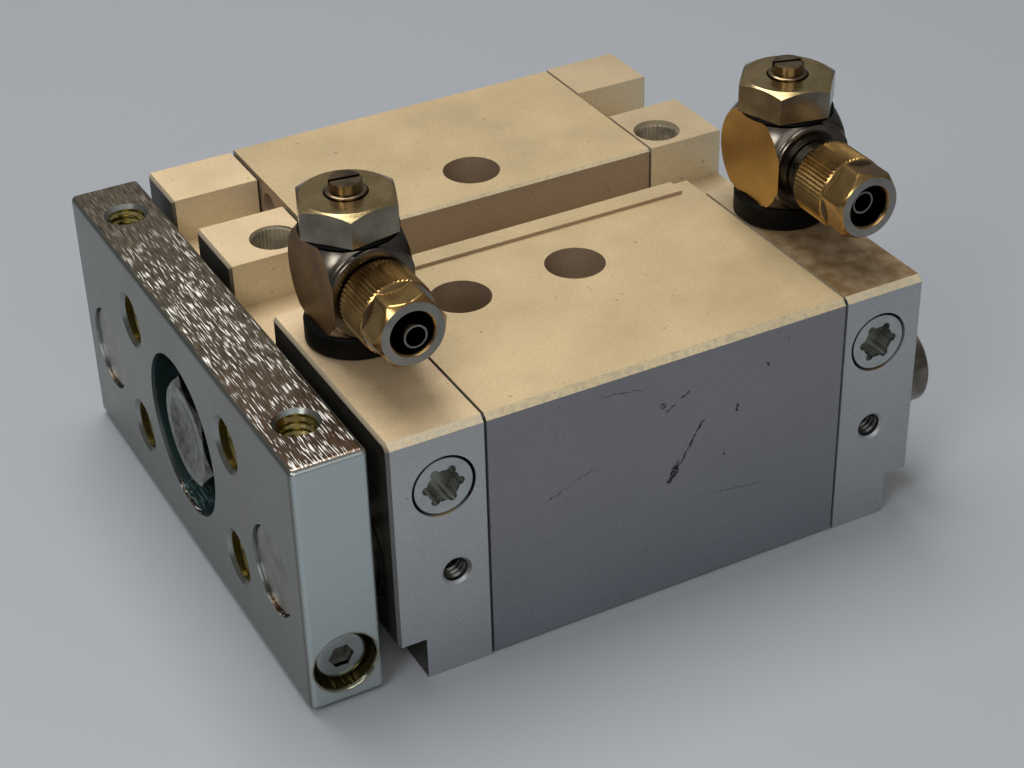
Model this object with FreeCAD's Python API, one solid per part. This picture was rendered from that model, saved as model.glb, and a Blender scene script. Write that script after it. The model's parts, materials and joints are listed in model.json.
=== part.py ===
"""Guided pneumatic cylinder: housing, sliding yoke and two swivelling flow control fittings.

Lengths are millimetres. The origin is the centre of the housing's bottom face. +X is the way
the yoke moves out, +Y is the side that carries the port plugs, and +Z is up.
"""
import FreeCAD
import Part

import math
import os

V = FreeCAD.Vector
FAR = 200.0  # longer than the part: reach of a cutting tool that goes right through
X_AXIS = V(1, 0, 0)
Y_AXIS = V(0, 1, 0)
Z_AXIS = V(0, 0, 1)

# ---- housing -----------------------------------------------------------------------------
HOUSING_WIDTH = 79.4
HOUSING_LENGTH = 77.6
FRONT_CAP_LENGTH = 12.8
REAR_CAP_LENGTH = 12.0
GASKET_THICKNESS = 0.4
GASKET_INSET = 0.35
NEAR_TOP_Z = 36.6          # top of the block that carries the ports
PAD_TOP_Z = 37.1           # top of the raised pad on the far side
CHANNEL_FLOOR_Z = 30.0
CHANNEL_Y = (-8.5, 1.6)    # channel in the barrel's top
CAP_BLOCK_Y = 6.0          # where the port block starts on the caps
RIDGE_TOP_WIDTH = 3.0      # ridge beside the channel
RIDGE_END_GAP = 2.7        # the ridge stops short of the rear cap
NEAR_LUG_WIDTH = 12.1
FAR_LUG_WIDTH = 9.9
LONG_EDGE_CHAMFER = 0.8
SMALL_CHAMFER = 0.4
NOTCH_DEPTH = 3.8          # step under each cap's outer end
NOTCH_HEIGHT = 6.2

HALF_WIDTH = HOUSING_WIDTH / 2
FRONT_X = HOUSING_LENGTH / 2
REAR_X = -HOUSING_LENGTH / 2
BARREL_FRONT_X = FRONT_X - FRONT_CAP_LENGTH - GASKET_THICKNESS
BARREL_REAR_X = REAR_X + REAR_CAP_LENGTH + GASKET_THICKNESS
RIDGE_Y = (CHANNEL_Y[1], CHANNEL_Y[1] + RIDGE_TOP_WIDTH)

# ---- cylinder, guides and their seals ----------------------------------------------------
STROKE = 25.0
CYLINDER_Z = 18.85
CYLINDER_R = 10.0
PISTON_SIDE_GAP = 0.3
PISTON_END_GAP = 0.15      # left at each end of the stroke
SEAL_GAP = 0.05            # between a seal and the face it slides on
SEAL_WIDTH = 2.4
SEAL_SETBACK = 3.0         # from the piston's end to its seal groove
SEAL_GROOVE_DEPTH = 2.1
MAGNET_WIDTH = 4.0
MAGNET_SINK = 0.5
CUSHION_THICKNESS = 1.5    # what stands in the bore, beyond the gasket
CUSHION_SIDE_GAP = 0.5
CUSHION_ROD_GAP = 0.6
REAR_CUSHION_HOLE_R = 2.8
ROD_R = 5.0
ROD_RUNNING_GAP = 0.04
ROD_PASSAGE_GAP = 0.4
ROD_BUSH_WALL = 2.0
ROD_BUSH_LENGTH = 6.0
ROD_SEAL_WALL = 3.0
ROD_SEAL_LENGTH = 4.5
PISTON_STUB_STEP = 1.0     # the rod steps down to go through the piston
GUIDE_EDGE = 10.1          # from the housing's side to a guide rod's axis
GUIDE_Z = 16.3
GUIDE_ROD_R = 6.0
GUIDE_RUNNING_GAP = 0.03
GUIDE_BUSH_WALL = 2.0
GUIDE_BUSH_LENGTH = 18.0
CAP_GUIDE_GAP = 0.2
WIPER_WALL = 1.5
WIPER_LENGTH = 2.6
WIPER_GAP = 0.06
WIPER_LIP = 0.5

GUIDE_Y = HALF_WIDTH - GUIDE_EDGE
GUIDE_BORE_R = GUIDE_ROD_R + GUIDE_BUSH_WALL
CAP_GUIDE_BORE_R = GUIDE_ROD_R + CAP_GUIDE_GAP
WIPER_R = GUIDE_ROD_R + WIPER_WALL
ROD_BUSH_R = ROD_R + ROD_BUSH_WALL
ROD_SEAL_R = ROD_R + ROD_SEAL_WALL
PISTON_STUB_R = ROD_R - PISTON_STUB_STEP
PISTON_R = CYLINDER_R - PISTON_SIDE_GAP
SEAL_INNER_R = PISTON_R - SEAL_GROOVE_DEPTH
MAGNET_R = PISTON_R - MAGNET_SINK
CUSHION_R = CYLINDER_R - CUSHION_SIDE_GAP
PISTON_REAR_X = BARREL_REAR_X + CUSHION_THICKNESS + PISTON_END_GAP
PISTON_FRONT_X = BARREL_FRONT_X - CUSHION_THICKNESS - PISTON_END_GAP - STROKE
PISTON_LENGTH = PISTON_FRONT_X - PISTON_REAR_X
SEAL_X = (PISTON_REAR_X + SEAL_SETBACK, PISTON_FRONT_X - SEAL_SETBACK - SEAL_WIDTH)
MAGNET_X = (PISTON_REAR_X + PISTON_FRONT_X - MAGNET_WIDTH) / 2

# ---- holes in the housing: pairs are front then rear, insets are from a cap's outer face --
MOUNT_HOLE_X = (15.7, -1.3)
MOUNT_HOLE_Y = (13.75, -15.95)
MOUNT_HOLE_R = 2.6
MOUNT_COUNTERBORE_R = 4.1
MOUNT_COUNTERBORE_DEPTH = 5.7
LUG_HOLE_INSET = (8.35, 8.35)
LUG_HOLE_Y = -13.1
LUG_HOLE_R = 3.4
LUG_HOLE_DEPTH = 10.0
SENSOR_BORE_Y = -26.7
SENSOR_BORE_Z = 33.5
SENSOR_BORE_R = 2.1
CAP_SCREW_FROM_GUIDE = 10.3
CAP_SCREW_RISE = 6.2       # above and below the guide axes
CAP_SCREW_R = 1.98
CAP_SCREW_THREAD_GAP = 0.04
CAP_SCREW_CLEARANCE = 0.22
CAP_SCREW_REACH = 6.0      # into the barrel
CAP_SCREW_END_ROOM = 0.5
CAP_SCREW_HEAD_R = 3.5
CAP_SCREW_HEAD_HEIGHT = 4.0
CAP_SCREW_HEAD_SINK = 0.4
CAP_SCREW_HEAD_ROOM = 0.1
CAP_SCREW_SOCKET_FLATS = 3.0
SIDE_HOLE_INSET = (8.4, 6.9)
SIDE_HOLE_Z = 15.2
SIDE_HOLE_R = 1.65
SIDE_HOLE_DEPTH = 3.6
SIDE_HOLE_POINT = 0.3      # cone left by the drill
SIDE_PLUG_INSET = (7.2, 6.7)
SIDE_PLUG_Z = 28.5
SIDE_PLUG_R = 4.25
SIDE_PLUG_GAP = 0.05
SIDE_PLUG_LENGTH = 6.5
SIDE_PLUG_SINK = 0.1
SIDE_PLUG_END_ROOM = 0.4
SIDE_PLUG_BEVEL = 0.3
SIDE_RECESS_R = 2.25
SIDE_RECESS_LOBE_R = 0.6
SIDE_RECESS_DEPTH = 2.6
SIDE_PASSAGE_R = 2.0
PORT_INSET = (7.55, 5.9)
PORT_Y = 15.35
PORT_R = 4.3
PORT_DEPTH = 8.5
AIR_PASSAGE_R = 1.0
AIR_PASSAGE_START = (2.8, 0.7)  # in from the port's axis, up from its floor
AIR_PASSAGE_END = (6.2, 25.4)

PORT_X = (FRONT_X - PORT_INSET[0], REAR_X + PORT_INSET[1])
LUG_HOLE_X = (FRONT_X - LUG_HOLE_INSET[0], REAR_X + LUG_HOLE_INSET[1])
SIDE_HOLE_X = (FRONT_X - SIDE_HOLE_INSET[0], REAR_X + SIDE_HOLE_INSET[1])
SIDE_PLUG_X = (FRONT_X - SIDE_PLUG_INSET[0], REAR_X + SIDE_PLUG_INSET[1])
CAP_SCREW_Y = GUIDE_Y - CAP_SCREW_FROM_GUIDE
CAP_SCREW_Z = (GUIDE_Z - CAP_SCREW_RISE, GUIDE_Z + CAP_SCREW_RISE)

# ---- yoke --------------------------------------------------------------------------------
PLATE_SIDE_STEP = 0.7      # plate's side in from the housing's side
PLATE_THICKNESS = 10.0
PLATE_BOTTOM_Z = 0.5
PLATE_TOP_STEP = 0.1       # plate's top above the port block
PLATE_GAP = 1.9            # between the plate and the front cap, yoke pulled in
PLATE_ROUNDING = 0.8
PLATE_HOLE_Y = 17.2
PLATE_HOLE_RISE = 8.7      # above and below the cylinder's axis
PLATE_HOLE_R = 3.4
PLATE_HOLE_BEVEL = 0.58
PLATE_TOP_HOLE_R = 2.5
PLATE_TOP_HOLE_BEVEL = 0.55
PLATE_TOP_HOLE_DEPTH = 9.0
CENTRE_BORE_R = 11.3
CENTRE_BORE_DEPTH = 6.5
GUIDE_ROD_SINK = 0.4       # rod end below the plate's front face
GUIDE_ROD_REAR_REACH = 6.2
GUIDE_ROD_CHAMFER = 0.4
GUIDE_ROD_FRONT_BEVEL = 0.3
GUIDE_ROD_CENTRE_R = 1.6
PLATE_ROD_GAP = 0.02
ROD_BOLT_R = 3.0
ROD_BOLT_THREAD_GAP = 0.02
ROD_BOLT_CLEARANCE = 0.3
ROD_BOLT_REACH = 15.0      # into the piston rod
ROD_BOLT_END_ROOM = 1.0
ROD_WASHER_R = 9.0
ROD_WASHER_THICKNESS = 1.2
ROD_BOLT_FLATS = 14.0
ROD_BOLT_TURN = 15.0
ROD_BOLT_HEAD_HEIGHT = 4.9
ROD_BOLT_FACE_R = 6.8
ROD_BOLT_DISH_R = 16.0
ROD_BOLT_DISH_DEPTH = 0.9
CLAMP_DROP = 9.8           # clamp axis below the guide rod's axis
CLAMP_R = 4.35
CLAMP_GAP = 0.05
CLAMP_SEAT_GAP = 0.02
CLAMP_OUTER_REACH = (0.6, 3.8)   # from the guide rod's axis, outwards
CLAMP_INNER_REACH = (7.6, 0.6)   # from the guide rod's axis, inwards
CLAMP_END_ROOM = 1.0
CLAMP_SCREW_R = 2.0
CLAMP_SCREW_THREAD_GAP = 0.02
CLAMP_SCREW_CLEARANCE = 0.2
CLAMP_HEAD_R = 3.5
CLAMP_HEAD_HEIGHT = 4.0
CLAMP_SOCKET_FLATS = 3.0
SCREW_BEVEL = 0.3

PLATE_HALF_WIDTH = HALF_WIDTH - PLATE_SIDE_STEP
PLATE_TOP_Z = NEAR_TOP_Z + PLATE_TOP_STEP
PLATE_BACK_X = FRONT_X + PLATE_GAP
PLATE_FRONT_X = PLATE_BACK_X + PLATE_THICKNESS
PLATE_MID_X = PLATE_BACK_X + PLATE_THICKNESS / 2
PLATE_HOLE_Z = (CYLINDER_Z - PLATE_HOLE_RISE, CYLINDER_Z + PLATE_HOLE_RISE)
CLAMP_Z = GUIDE_Z - CLAMP_DROP
CLAMP_OUTER_Y = (GUIDE_Y + CLAMP_OUTER_REACH[0], GUIDE_Y + CLAMP_OUTER_REACH[1])
CLAMP_INNER_Y = (GUIDE_Y - CLAMP_INNER_REACH[0], GUIDE_Y - CLAMP_INNER_REACH[1])

# ---- flow control fittings: heights are above the port block's top ----------------------
THREAD_GAP = 0.05
SWIVEL_GAP = 0.05
RING_R = 6.5
RING_HEIGHT = 3.4
RING_BEVEL = 0.4
RING_INNER_GAP = 0.1
STEM_R = 4.0
STEM_END_ROOM = 0.5
BANJO_BORE_GAP = 0.07
BANJO_GROOVE_DEPTH = 0.43  # air groove round the bolt, level with the outlet
SPHERE_R = 8.9
SPHERE_FLAT_X = 5.5
SPHERE_FLAT_Y = 6.3        # flat face that the outlet stands on
BANJO_TOP = 15.5
BANJO_FOOT_STEP = 0.3      # foot's edge in from the ring's edge
BANJO_FOOT_HEIGHT = 0.95
SHIM_STEP = 1.0
SHIM_SEAT = 0.6            # from the swivelling body to the hexagon
HEX_HEIGHT = 4.25
HEX_FLATS = 12.0
HEX_FACE_R = 5.75
OUTLET_Z = 9.35
OUTLET_COLLAR_R = 4.3
OUTLET_COLLAR_Y = 6.9
OUTLET_SOCKET_R = 3.5
OUTLET_SOCKET_Y = 5.2
CROSS_HOLE_R = 1.1
STUB_R = 3.95
STUB_END_Y = 13.0
STUB_BEVEL = 0.4
NIPPLE_BORE_R = 1.3
NIPPLE_R = 1.7
NIPPLE_BARB = 0.15
NIPPLE_BARB_LENGTH = 1.2
NIPPLE_REACH = 0.6         # out of the nut, when the nut is screwed home
NUT_END_GAP = 0.1
NUT_LENGTH = 10.3
NUT_KNURL_LENGTH = 6.3
NUT_KNURL_R = 5.1
NUT_KNURL_DEPTH = 0.16
NUT_KNURL_COUNT = 48
NUT_KNURL_BEVEL = 0.4
NUT_HEX_FLATS = 8.7
NUT_FACE_R = 4.15
NUT_NECK_R = 4.3
NUT_NECK_LENGTH = 0.3
NUT_THREAD_GAP = 0.07
NUT_CAVITY_ROOM = 0.4      # past the stub's end
NUT_CONE_LENGTH = 0.8
NUT_BORE_R = 2.75
NUT_MOUTH_BEVEL = 0.35
NEEDLE_R = 2.0
NEEDLE_REACH = 1.85        # above the hexagon
NEEDLE_BOTTOM = 5.0
NEEDLE_TIP_R = 0.3
NEEDLE_CONE_R = 1.2
NEEDLE_CONE_HEIGHT = 3.0
NEEDLE_SHOULDER_HEIGHT = 1.0
NEEDLE_COLLAR_R = 2.55
NEEDLE_COLLAR_HEIGHT = 0.9
NEEDLE_NECK_R = 1.75
NEEDLE_HEAD_R = 2.1
NEEDLE_HEAD_HEIGHT = 1.5
NEEDLE_BEVEL = 0.15
NEEDLE_RECESS_ROOM = 0.25
NEEDLE_RECESS_DEPTH = 1.2
NEEDLE_SLOT_WIDTH = 0.6
NEEDLE_SLOT_DEPTH = 0.7
ORING_R = 0.38
ORING_DROP = 3.0           # below the swivelling body's top
ORING_SIDE_GAP = 0.07      # between the O-ring and the groove's sides
ORING_FLOOR_GAP = 0.05
ORING_WALL_GAP = 0.12      # between the O-ring and the bore

SPHERE_Z = OUTLET_Z
STEM_THREAD_R = PORT_R - THREAD_GAP
STEM_DEPTH = PORT_DEPTH - STEM_END_ROOM
BANJO_BORE_R = STEM_R + BANJO_BORE_GAP
BANJO_BOTTOM = RING_HEIGHT + SWIVEL_GAP
HEX_BOTTOM = BANJO_TOP + SHIM_SEAT
HEX_TOP = HEX_BOTTOM + HEX_HEIGHT
NUT_START_Y = OUTLET_COLLAR_Y + NUT_END_GAP
NUT_CAVITY_R = STUB_R + NUT_THREAD_GAP
NUT_CAVITY_DEPTH = STUB_END_Y - NUT_START_Y + NUT_CAVITY_ROOM
NIPPLE_END_Y = NUT_START_Y + NUT_LENGTH + NIPPLE_REACH
NEEDLE_BORE_R = NEEDLE_R + THREAD_GAP
NEEDLE_TOP = HEX_TOP + NEEDLE_REACH
ORING_Z = BANJO_TOP - ORING_DROP
ORING_CENTRE_R = NEEDLE_BORE_R - ORING_WALL_GAP - ORING_R

# how each fitting stands: turn of its hexagon, its nut and its screw slot, in degrees, and
# how far its nut is backed off
FRONT_STANCE = {"hex_turn": 10.0, "nut_turn": 5.0, "slot_turn": -8.5, "backed_off": 0.0}
REAR_STANCE = {"hex_turn": 49.0, "nut_turn": 47.0, "slot_turn": -17.0, "backed_off": 2.1}

# ---- building blocks ---------------------------------------------------------------------
def box(x_range, y_range, z_range):
    """A block that spans the three ranges."""
    size = [high - low for low, high in (x_range, y_range, z_range)]
    return Part.makeBox(*size, V(x_range[0], y_range[0], z_range[0]))


def bar(radius, start, end):
    """A round bar between two points."""
    return Part.makeCylinder(radius, (end - start).Length, start, end - start)


def along_x(radius, y, z, x_low, x_high):
    """A round bar along X."""
    return bar(radius, V(x_low, y, z), V(x_high, y, z))


def turned(outline, origin, direction):
    """The (radius, height) outline spun about the line through origin along direction."""
    points = [V(radius, 0, height) for radius, height in outline]
    face = Part.Face(Part.makePolygon(points + points[:1]))
    return placed(face.revolve(V(0, 0, 0), Z_AXIS, 360), origin, direction)


def ring(outer_r, inner_r, origin, direction, length):
    """A flat ring that starts at origin and runs along direction."""
    outline = [(inner_r, 0), (outer_r, 0), (outer_r, length), (inner_r, length)]
    return turned(outline, origin, direction)


def placed(shape, origin, direction):
    """The shape with its local Z turned to direction and its zero moved to origin."""
    shape.Placement = FreeCAD.Placement(origin, FreeCAD.Rotation(Z_AXIS, direction))
    return shape


def prism(corners, height):
    """A prism on the XY plane from a list of (x, y) corners."""
    points = [V(x, y, 0) for x, y in corners]
    face = Part.Face(Part.makePolygon(points + points[:1]))
    return face.extrude(V(0, 0, height))


def hexagon(flats, height, turn=0.0):
    """A hexagonal prism that stands on the XY plane."""
    corner_r = flats / math.sqrt(3)
    angles = [math.radians(turn + 60 * i) for i in range(6)]
    return prism([(corner_r * math.cos(a), corner_r * math.sin(a)) for a in angles], height)


def bevelled_hexagon(flats, height, turn, face_r):
    """A hexagonal prism with its upper corners turned down at 30 degrees to a round face."""
    fall = (flats - face_r) * math.tan(math.radians(30))
    crown = turned([(0, -fall), (flats, -fall), (flats, height - fall), (face_r, height),
                    (0, height)], V(0, 0, 0), Z_AXIS)
    return hexagon(flats, height, turn).common(crown)


def cut(body, tools):
    """The body less every tool."""
    return body.cut(Part.makeCompound(tools))


def fuse(shapes):
    """One solid from several that touch or overlap."""
    return shapes[0].multiFuse(shapes[1:]).removeSplitter()


def both_sides(shape):
    """The shape and its mirror image across the XZ plane."""
    return [shape, shape.mirror(V(0, 0, 0), Y_AXIS)]


def extrusion(corners, x_low, x_high):
    """A profile of (y, z) corners carried along X."""
    points = [V(x_low, y, z) for y, z in corners]
    face = Part.Face(Part.makePolygon(points + points[:1]))
    return face.extrude(V(x_high - x_low, 0, 0))


def long_edges(shape, corners):
    """The edges along X that pass through the (y, z) corners."""
    found = []
    for edge in shape.Edges:
        ends = [vertex.Point for vertex in edge.Vertexes]
        for y, z in corners:
            if all(abs(p.y - y) < 1e-4 and abs(p.z - z) < 1e-4 for p in ends):
                found.append(edge)
    return found


def end_edges(shape, x):
    """The edges that lie in the plane at x."""
    return [e for e in shape.Edges if all(abs(v.Point.x - x) < 1e-4 for v in e.Vertexes)]


def socket_screw(radius, reach, head_r, head_height, socket_flats):
    """A cap screw: its head stands on the XY plane and its shank runs down."""
    bevel = SCREW_BEVEL
    outline = [(0, -reach), (radius - bevel, -reach), (radius, bevel - reach), (radius, 0),
               (head_r, 0), (head_r, head_height - bevel), (head_r - bevel, head_height),
               (0, head_height)]
    screw = turned(outline, V(0, 0, 0), Z_AXIS)
    socket = hexagon(socket_flats, head_height)
    socket.translate(V(0, 0, head_height / 2))
    return screw.cut(socket)


# ---- housing -----------------------------------------------------------------------------
def cap_profile(lug_top, inset):
    """The caps' outline in (y, z), drawn in by the inset."""
    near_lug = (CHANNEL_Y[0] - NEAR_LUG_WIDTH, CHANNEL_Y[0])
    far_lug_y = -HALF_WIDTH + FAR_LUG_WIDTH
    floor = CHANNEL_FLOOR_Z - inset
    lug_top = lug_top - inset
    return [(-HALF_WIDTH + inset, inset),
            (HALF_WIDTH - inset, inset),
            (HALF_WIDTH - inset, NEAR_TOP_Z - inset),
            (CAP_BLOCK_Y + inset, NEAR_TOP_Z - inset),
            (CAP_BLOCK_Y + inset, floor),
            (near_lug[1] - inset, floor),
            (near_lug[1] - inset, lug_top),
            (near_lug[0] + inset, lug_top),
            (near_lug[0] + inset, floor),
            (far_lug_y - inset, floor),
            (far_lug_y - inset, lug_top),
            (-HALF_WIDTH + inset, lug_top)]


def guide_bars(radius, x_low, x_high):
    """A bar on each guide axis."""
    return both_sides(along_x(radius, GUIDE_Y, GUIDE_Z, x_low, x_high))


def cap_screw_bars(radius, x_low, x_high):
    """A bar on each cap screw axis."""
    bars = []
    for z in CAP_SCREW_Z:
        bars += both_sides(along_x(radius, CAP_SCREW_Y, z, x_low, x_high))
    return bars


def mounting_holes(block_top, y):
    """The counterbored fixing holes of one row."""
    holes = []
    for x in MOUNT_HOLE_X:
        seat_z = block_top - MOUNT_COUNTERBORE_DEPTH
        holes.append(bar(MOUNT_HOLE_R, V(x, y, -1), V(x, y, FAR)))
        holes.append(bar(MOUNT_COUNTERBORE_R, V(x, y, seat_z), V(x, y, FAR)))
    return holes


def make_barrel():
    corners = [(-HALF_WIDTH, 0), (HALF_WIDTH, 0), (HALF_WIDTH, NEAR_TOP_Z),
               (RIDGE_Y[1], NEAR_TOP_Z), (RIDGE_Y[1], PAD_TOP_Z), (RIDGE_Y[0], PAD_TOP_Z),
               (CHANNEL_Y[1], CHANNEL_FLOOR_Z), (CHANNEL_Y[0], CHANNEL_FLOOR_Z),
               (CHANNEL_Y[0], PAD_TOP_Z), (-HALF_WIDTH, PAD_TOP_Z)]
    barrel = extrusion(corners, BARREL_REAR_X, BARREL_FRONT_X)
    barrel = barrel.makeChamfer(LONG_EDGE_CHAMFER, long_edges(barrel, corners[2:3]))
    small = [corners[0], corners[1], corners[8], corners[9]]
    barrel = barrel.makeChamfer(SMALL_CHAMFER, long_edges(barrel, small))
    ridge_cut = box((BARREL_REAR_X - 1, BARREL_REAR_X + RIDGE_END_GAP), (-1, RIDGE_Y[1] + 1),
                    (NEAR_TOP_Z, PAD_TOP_Z + 1))
    tools = [ridge_cut,
             along_x(CYLINDER_R, 0, CYLINDER_Z, -FAR, FAR),
             along_x(SENSOR_BORE_R, SENSOR_BORE_Y, SENSOR_BORE_Z, -FAR, FAR)]
    tools += guide_bars(GUIDE_BORE_R, -FAR, FAR)
    tools += mounting_holes(NEAR_TOP_Z, MOUNT_HOLE_Y[0])
    tools += mounting_holes(PAD_TOP_Z, MOUNT_HOLE_Y[1])
    depth = CAP_SCREW_REACH + CAP_SCREW_END_ROOM
    thread_r = CAP_SCREW_R + CAP_SCREW_THREAD_GAP
    tools += cap_screw_bars(thread_r, BARREL_FRONT_X - depth, FAR)
    tools += cap_screw_bars(thread_r, -FAR, BARREL_REAR_X + depth)
    return cut(barrel, tools)


def side_holes(x):
    """The small tapped hole on each side of a cap."""
    bevel = SMALL_CHAMFER
    outline = [(0, 0), (SIDE_HOLE_R, SIDE_HOLE_POINT), (SIDE_HOLE_R, SIDE_HOLE_DEPTH - bevel),
               (SIDE_HOLE_R + bevel, SIDE_HOLE_DEPTH), (SIDE_HOLE_R + bevel, FAR), (0, FAR)]
    start = V(x, HALF_WIDTH - SIDE_HOLE_DEPTH, SIDE_HOLE_Z)
    return both_sides(turned(outline, start, Y_AXIS))


def cap_tools(index, inner_x, outward):
    """Everything drilled into one cap; outward is +1 for the front cap, -1 for the rear."""
    outer_x = outward * FRONT_X
    port_x = PORT_X[index]
    port_floor = V(port_x, PORT_Y, NEAR_TOP_Z - PORT_DEPTH)
    passage_start = port_floor + V(0, -AIR_PASSAGE_START[0], AIR_PASSAGE_START[1])
    passage_end = V(inner_x - outward, *AIR_PASSAGE_END)
    plug_axis = V(SIDE_PLUG_X[index], 0, SIDE_PLUG_Z)
    plug_end_y = HALF_WIDTH - SIDE_PLUG_SINK - SIDE_PLUG_LENGTH - SIDE_PLUG_END_ROOM
    lug_hole = V(LUG_HOLE_X[index], LUG_HOLE_Y, NEAR_TOP_Z - LUG_HOLE_DEPTH)
    tools = [bar(PORT_R, port_floor, port_floor + Z_AXIS * FAR),
             bar(AIR_PASSAGE_R, passage_start, passage_end),
             bar(SIDE_PLUG_R + SIDE_PLUG_GAP, plug_axis + Y_AXIS * plug_end_y,
                 plug_axis + Y_AXIS * FAR),
             bar(SIDE_PASSAGE_R, plug_axis + Y_AXIS * PORT_Y, plug_axis + Y_AXIS * HALF_WIDTH),
             bar(LUG_HOLE_R, lug_hole, lug_hole + Z_AXIS * FAR)]
    tools += side_holes(SIDE_HOLE_X[index])
    tools += guide_bars(CAP_GUIDE_BORE_R, -FAR, FAR)
    tools += guide_bars(WIPER_R, *sorted((outer_x - outward * WIPER_LENGTH, outward * FAR)))
    tools += cap_screw_bars(CAP_SCREW_R + CAP_SCREW_CLEARANCE, -FAR, FAR)
    head_depth = CAP_SCREW_HEAD_HEIGHT + CAP_SCREW_HEAD_SINK
    sink = sorted((outer_x - outward * head_depth, outward * FAR))
    tools += cap_screw_bars(CAP_SCREW_HEAD_R + CAP_SCREW_HEAD_ROOM, *sink)
    return tools


def cap_blank(lug_top, inner_x, outer_x):
    """A cap before drilling, with its bevelled outer end and the step underneath."""
    corners = cap_profile(lug_top, 0)
    blank = extrusion(corners, *sorted((inner_x, outer_x)))
    blank = blank.makeChamfer(LONG_EDGE_CHAMFER, long_edges(blank, corners[2:3]))
    notch_x = sorted((outer_x - math.copysign(NOTCH_DEPTH, outer_x), math.copysign(FAR, outer_x)))
    blank = blank.cut(box(notch_x, (-FAR, FAR), (-1, NOTCH_HEIGHT)))
    return blank.makeChamfer(SMALL_CHAMFER, end_edges(blank, outer_x))


def make_front_cap():
    inner_x = BARREL_FRONT_X + GASKET_THICKNESS
    tools = cap_tools(0, inner_x, 1)
    tools.append(along_x(ROD_R + ROD_PASSAGE_GAP, 0, CYLINDER_Z, 0, FAR))
    tools.append(along_x(ROD_BUSH_R, 0, CYLINDER_Z, 0, inner_x + ROD_BUSH_LENGTH))
    tools.append(along_x(ROD_SEAL_R, 0, CYLINDER_Z, FRONT_X - ROD_SEAL_LENGTH, FAR))
    return cut(cap_blank(NEAR_TOP_Z, inner_x, FRONT_X), tools)


def make_rear_cap():
    inner_x = BARREL_REAR_X - GASKET_THICKNESS
    return cut(cap_blank(PAD_TOP_Z, inner_x, REAR_X), cap_tools(1, inner_x, -1))


def make_gasket(x_low):
    gasket = extrusion(cap_profile(NEAR_TOP_Z, GASKET_INSET), x_low, x_low + GASKET_THICKNESS)
    tools = [along_x(CYLINDER_R, 0, CYLINDER_Z, -FAR, FAR)]
    tools += guide_bars(CAP_GUIDE_BORE_R, -FAR, FAR)
    tools += cap_screw_bars(CAP_SCREW_R + CAP_SCREW_CLEARANCE, -FAR, FAR)
    return cut(gasket, tools)


def make_guide_bushes():
    bushes = []
    inner_r = GUIDE_ROD_R + GUIDE_RUNNING_GAP
    for x in (BARREL_REAR_X, BARREL_FRONT_X - GUIDE_BUSH_LENGTH):
        bush = ring(GUIDE_BORE_R, inner_r, V(x, GUIDE_Y, GUIDE_Z), X_AXIS, GUIDE_BUSH_LENGTH)
        bushes += both_sides(bush)
    return Part.makeCompound(bushes)


def make_wipers(x, direction):
    inner_r = GUIDE_ROD_R + WIPER_GAP
    outline = [(inner_r, 0), (WIPER_R, 0), (WIPER_R, WIPER_LENGTH - WIPER_LIP),
               (inner_r + WIPER_LIP, WIPER_LENGTH), (inner_r, WIPER_LENGTH)]
    wiper = turned(outline, V(x, GUIDE_Y, GUIDE_Z), direction)
    return Part.makeCompound(both_sides(wiper))


def make_cap_screws(x, direction):
    """The four screws of a cap; direction points out of their heads."""
    reach = abs(x) - abs(BARREL_FRONT_X if x > 0 else BARREL_REAR_X) + CAP_SCREW_REACH
    screws = []
    for z in CAP_SCREW_Z:
        screw = socket_screw(CAP_SCREW_R, reach, CAP_SCREW_HEAD_R, CAP_SCREW_HEAD_HEIGHT,
                             CAP_SCREW_SOCKET_FLATS)
        screws += both_sides(placed(screw, V(x, CAP_SCREW_Y, z), direction))
    return Part.makeCompound(screws)


def star_recess(centre_r, lobe_r, depth):
    """A six-lobed driver recess that stands on the XY plane."""
    lobes = [Part.makeCylinder(centre_r, depth)]
    for i in range(6):
        angle = math.radians(60 * i)
        centre = V(centre_r * math.cos(angle), centre_r * math.sin(angle), 0)
        lobes.append(Part.makeCylinder(lobe_r, depth, centre))
    return fuse(lobes)


def make_side_plugs():
    plugs = []
    bevel = SIDE_PLUG_BEVEL
    for x in SIDE_PLUG_X:
        outline = [(0, 0), (SIDE_PLUG_R, 0), (SIDE_PLUG_R, SIDE_PLUG_LENGTH - bevel),
                   (SIDE_PLUG_R - bevel, SIDE_PLUG_LENGTH), (0, SIDE_PLUG_LENGTH)]
        plug = turned(outline, V(0, 0, 0), Z_AXIS)
        recess = star_recess(SIDE_RECESS_R, SIDE_RECESS_LOBE_R, SIDE_PLUG_LENGTH)
        recess.translate(V(0, 0, SIDE_PLUG_LENGTH - SIDE_RECESS_DEPTH))
        start = V(x, HALF_WIDTH - SIDE_PLUG_LENGTH - SIDE_PLUG_SINK, SIDE_PLUG_Z)
        plugs.append(placed(plug.cut(recess), start, Y_AXIS))
    return Part.makeCompound(plugs)


def make_cushion(x_low, hole_r):
    length = CUSHION_THICKNESS + GASKET_THICKNESS
    return ring(CUSHION_R, hole_r, V(x_low, 0, CYLINDER_Z), X_AXIS, length)


# ---- yoke --------------------------------------------------------------------------------
def bevelled_hole(radius, depth, bevel):
    """A drilling tool whose mouth, opened out by the bevel, is at the XY plane."""
    outline = [(0, -depth), (radius, -depth), (radius, -bevel), (radius + bevel, 0),
               (radius + bevel, FAR), (0, FAR)]
    return turned(outline, V(0, 0, 0), Z_AXIS)


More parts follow.
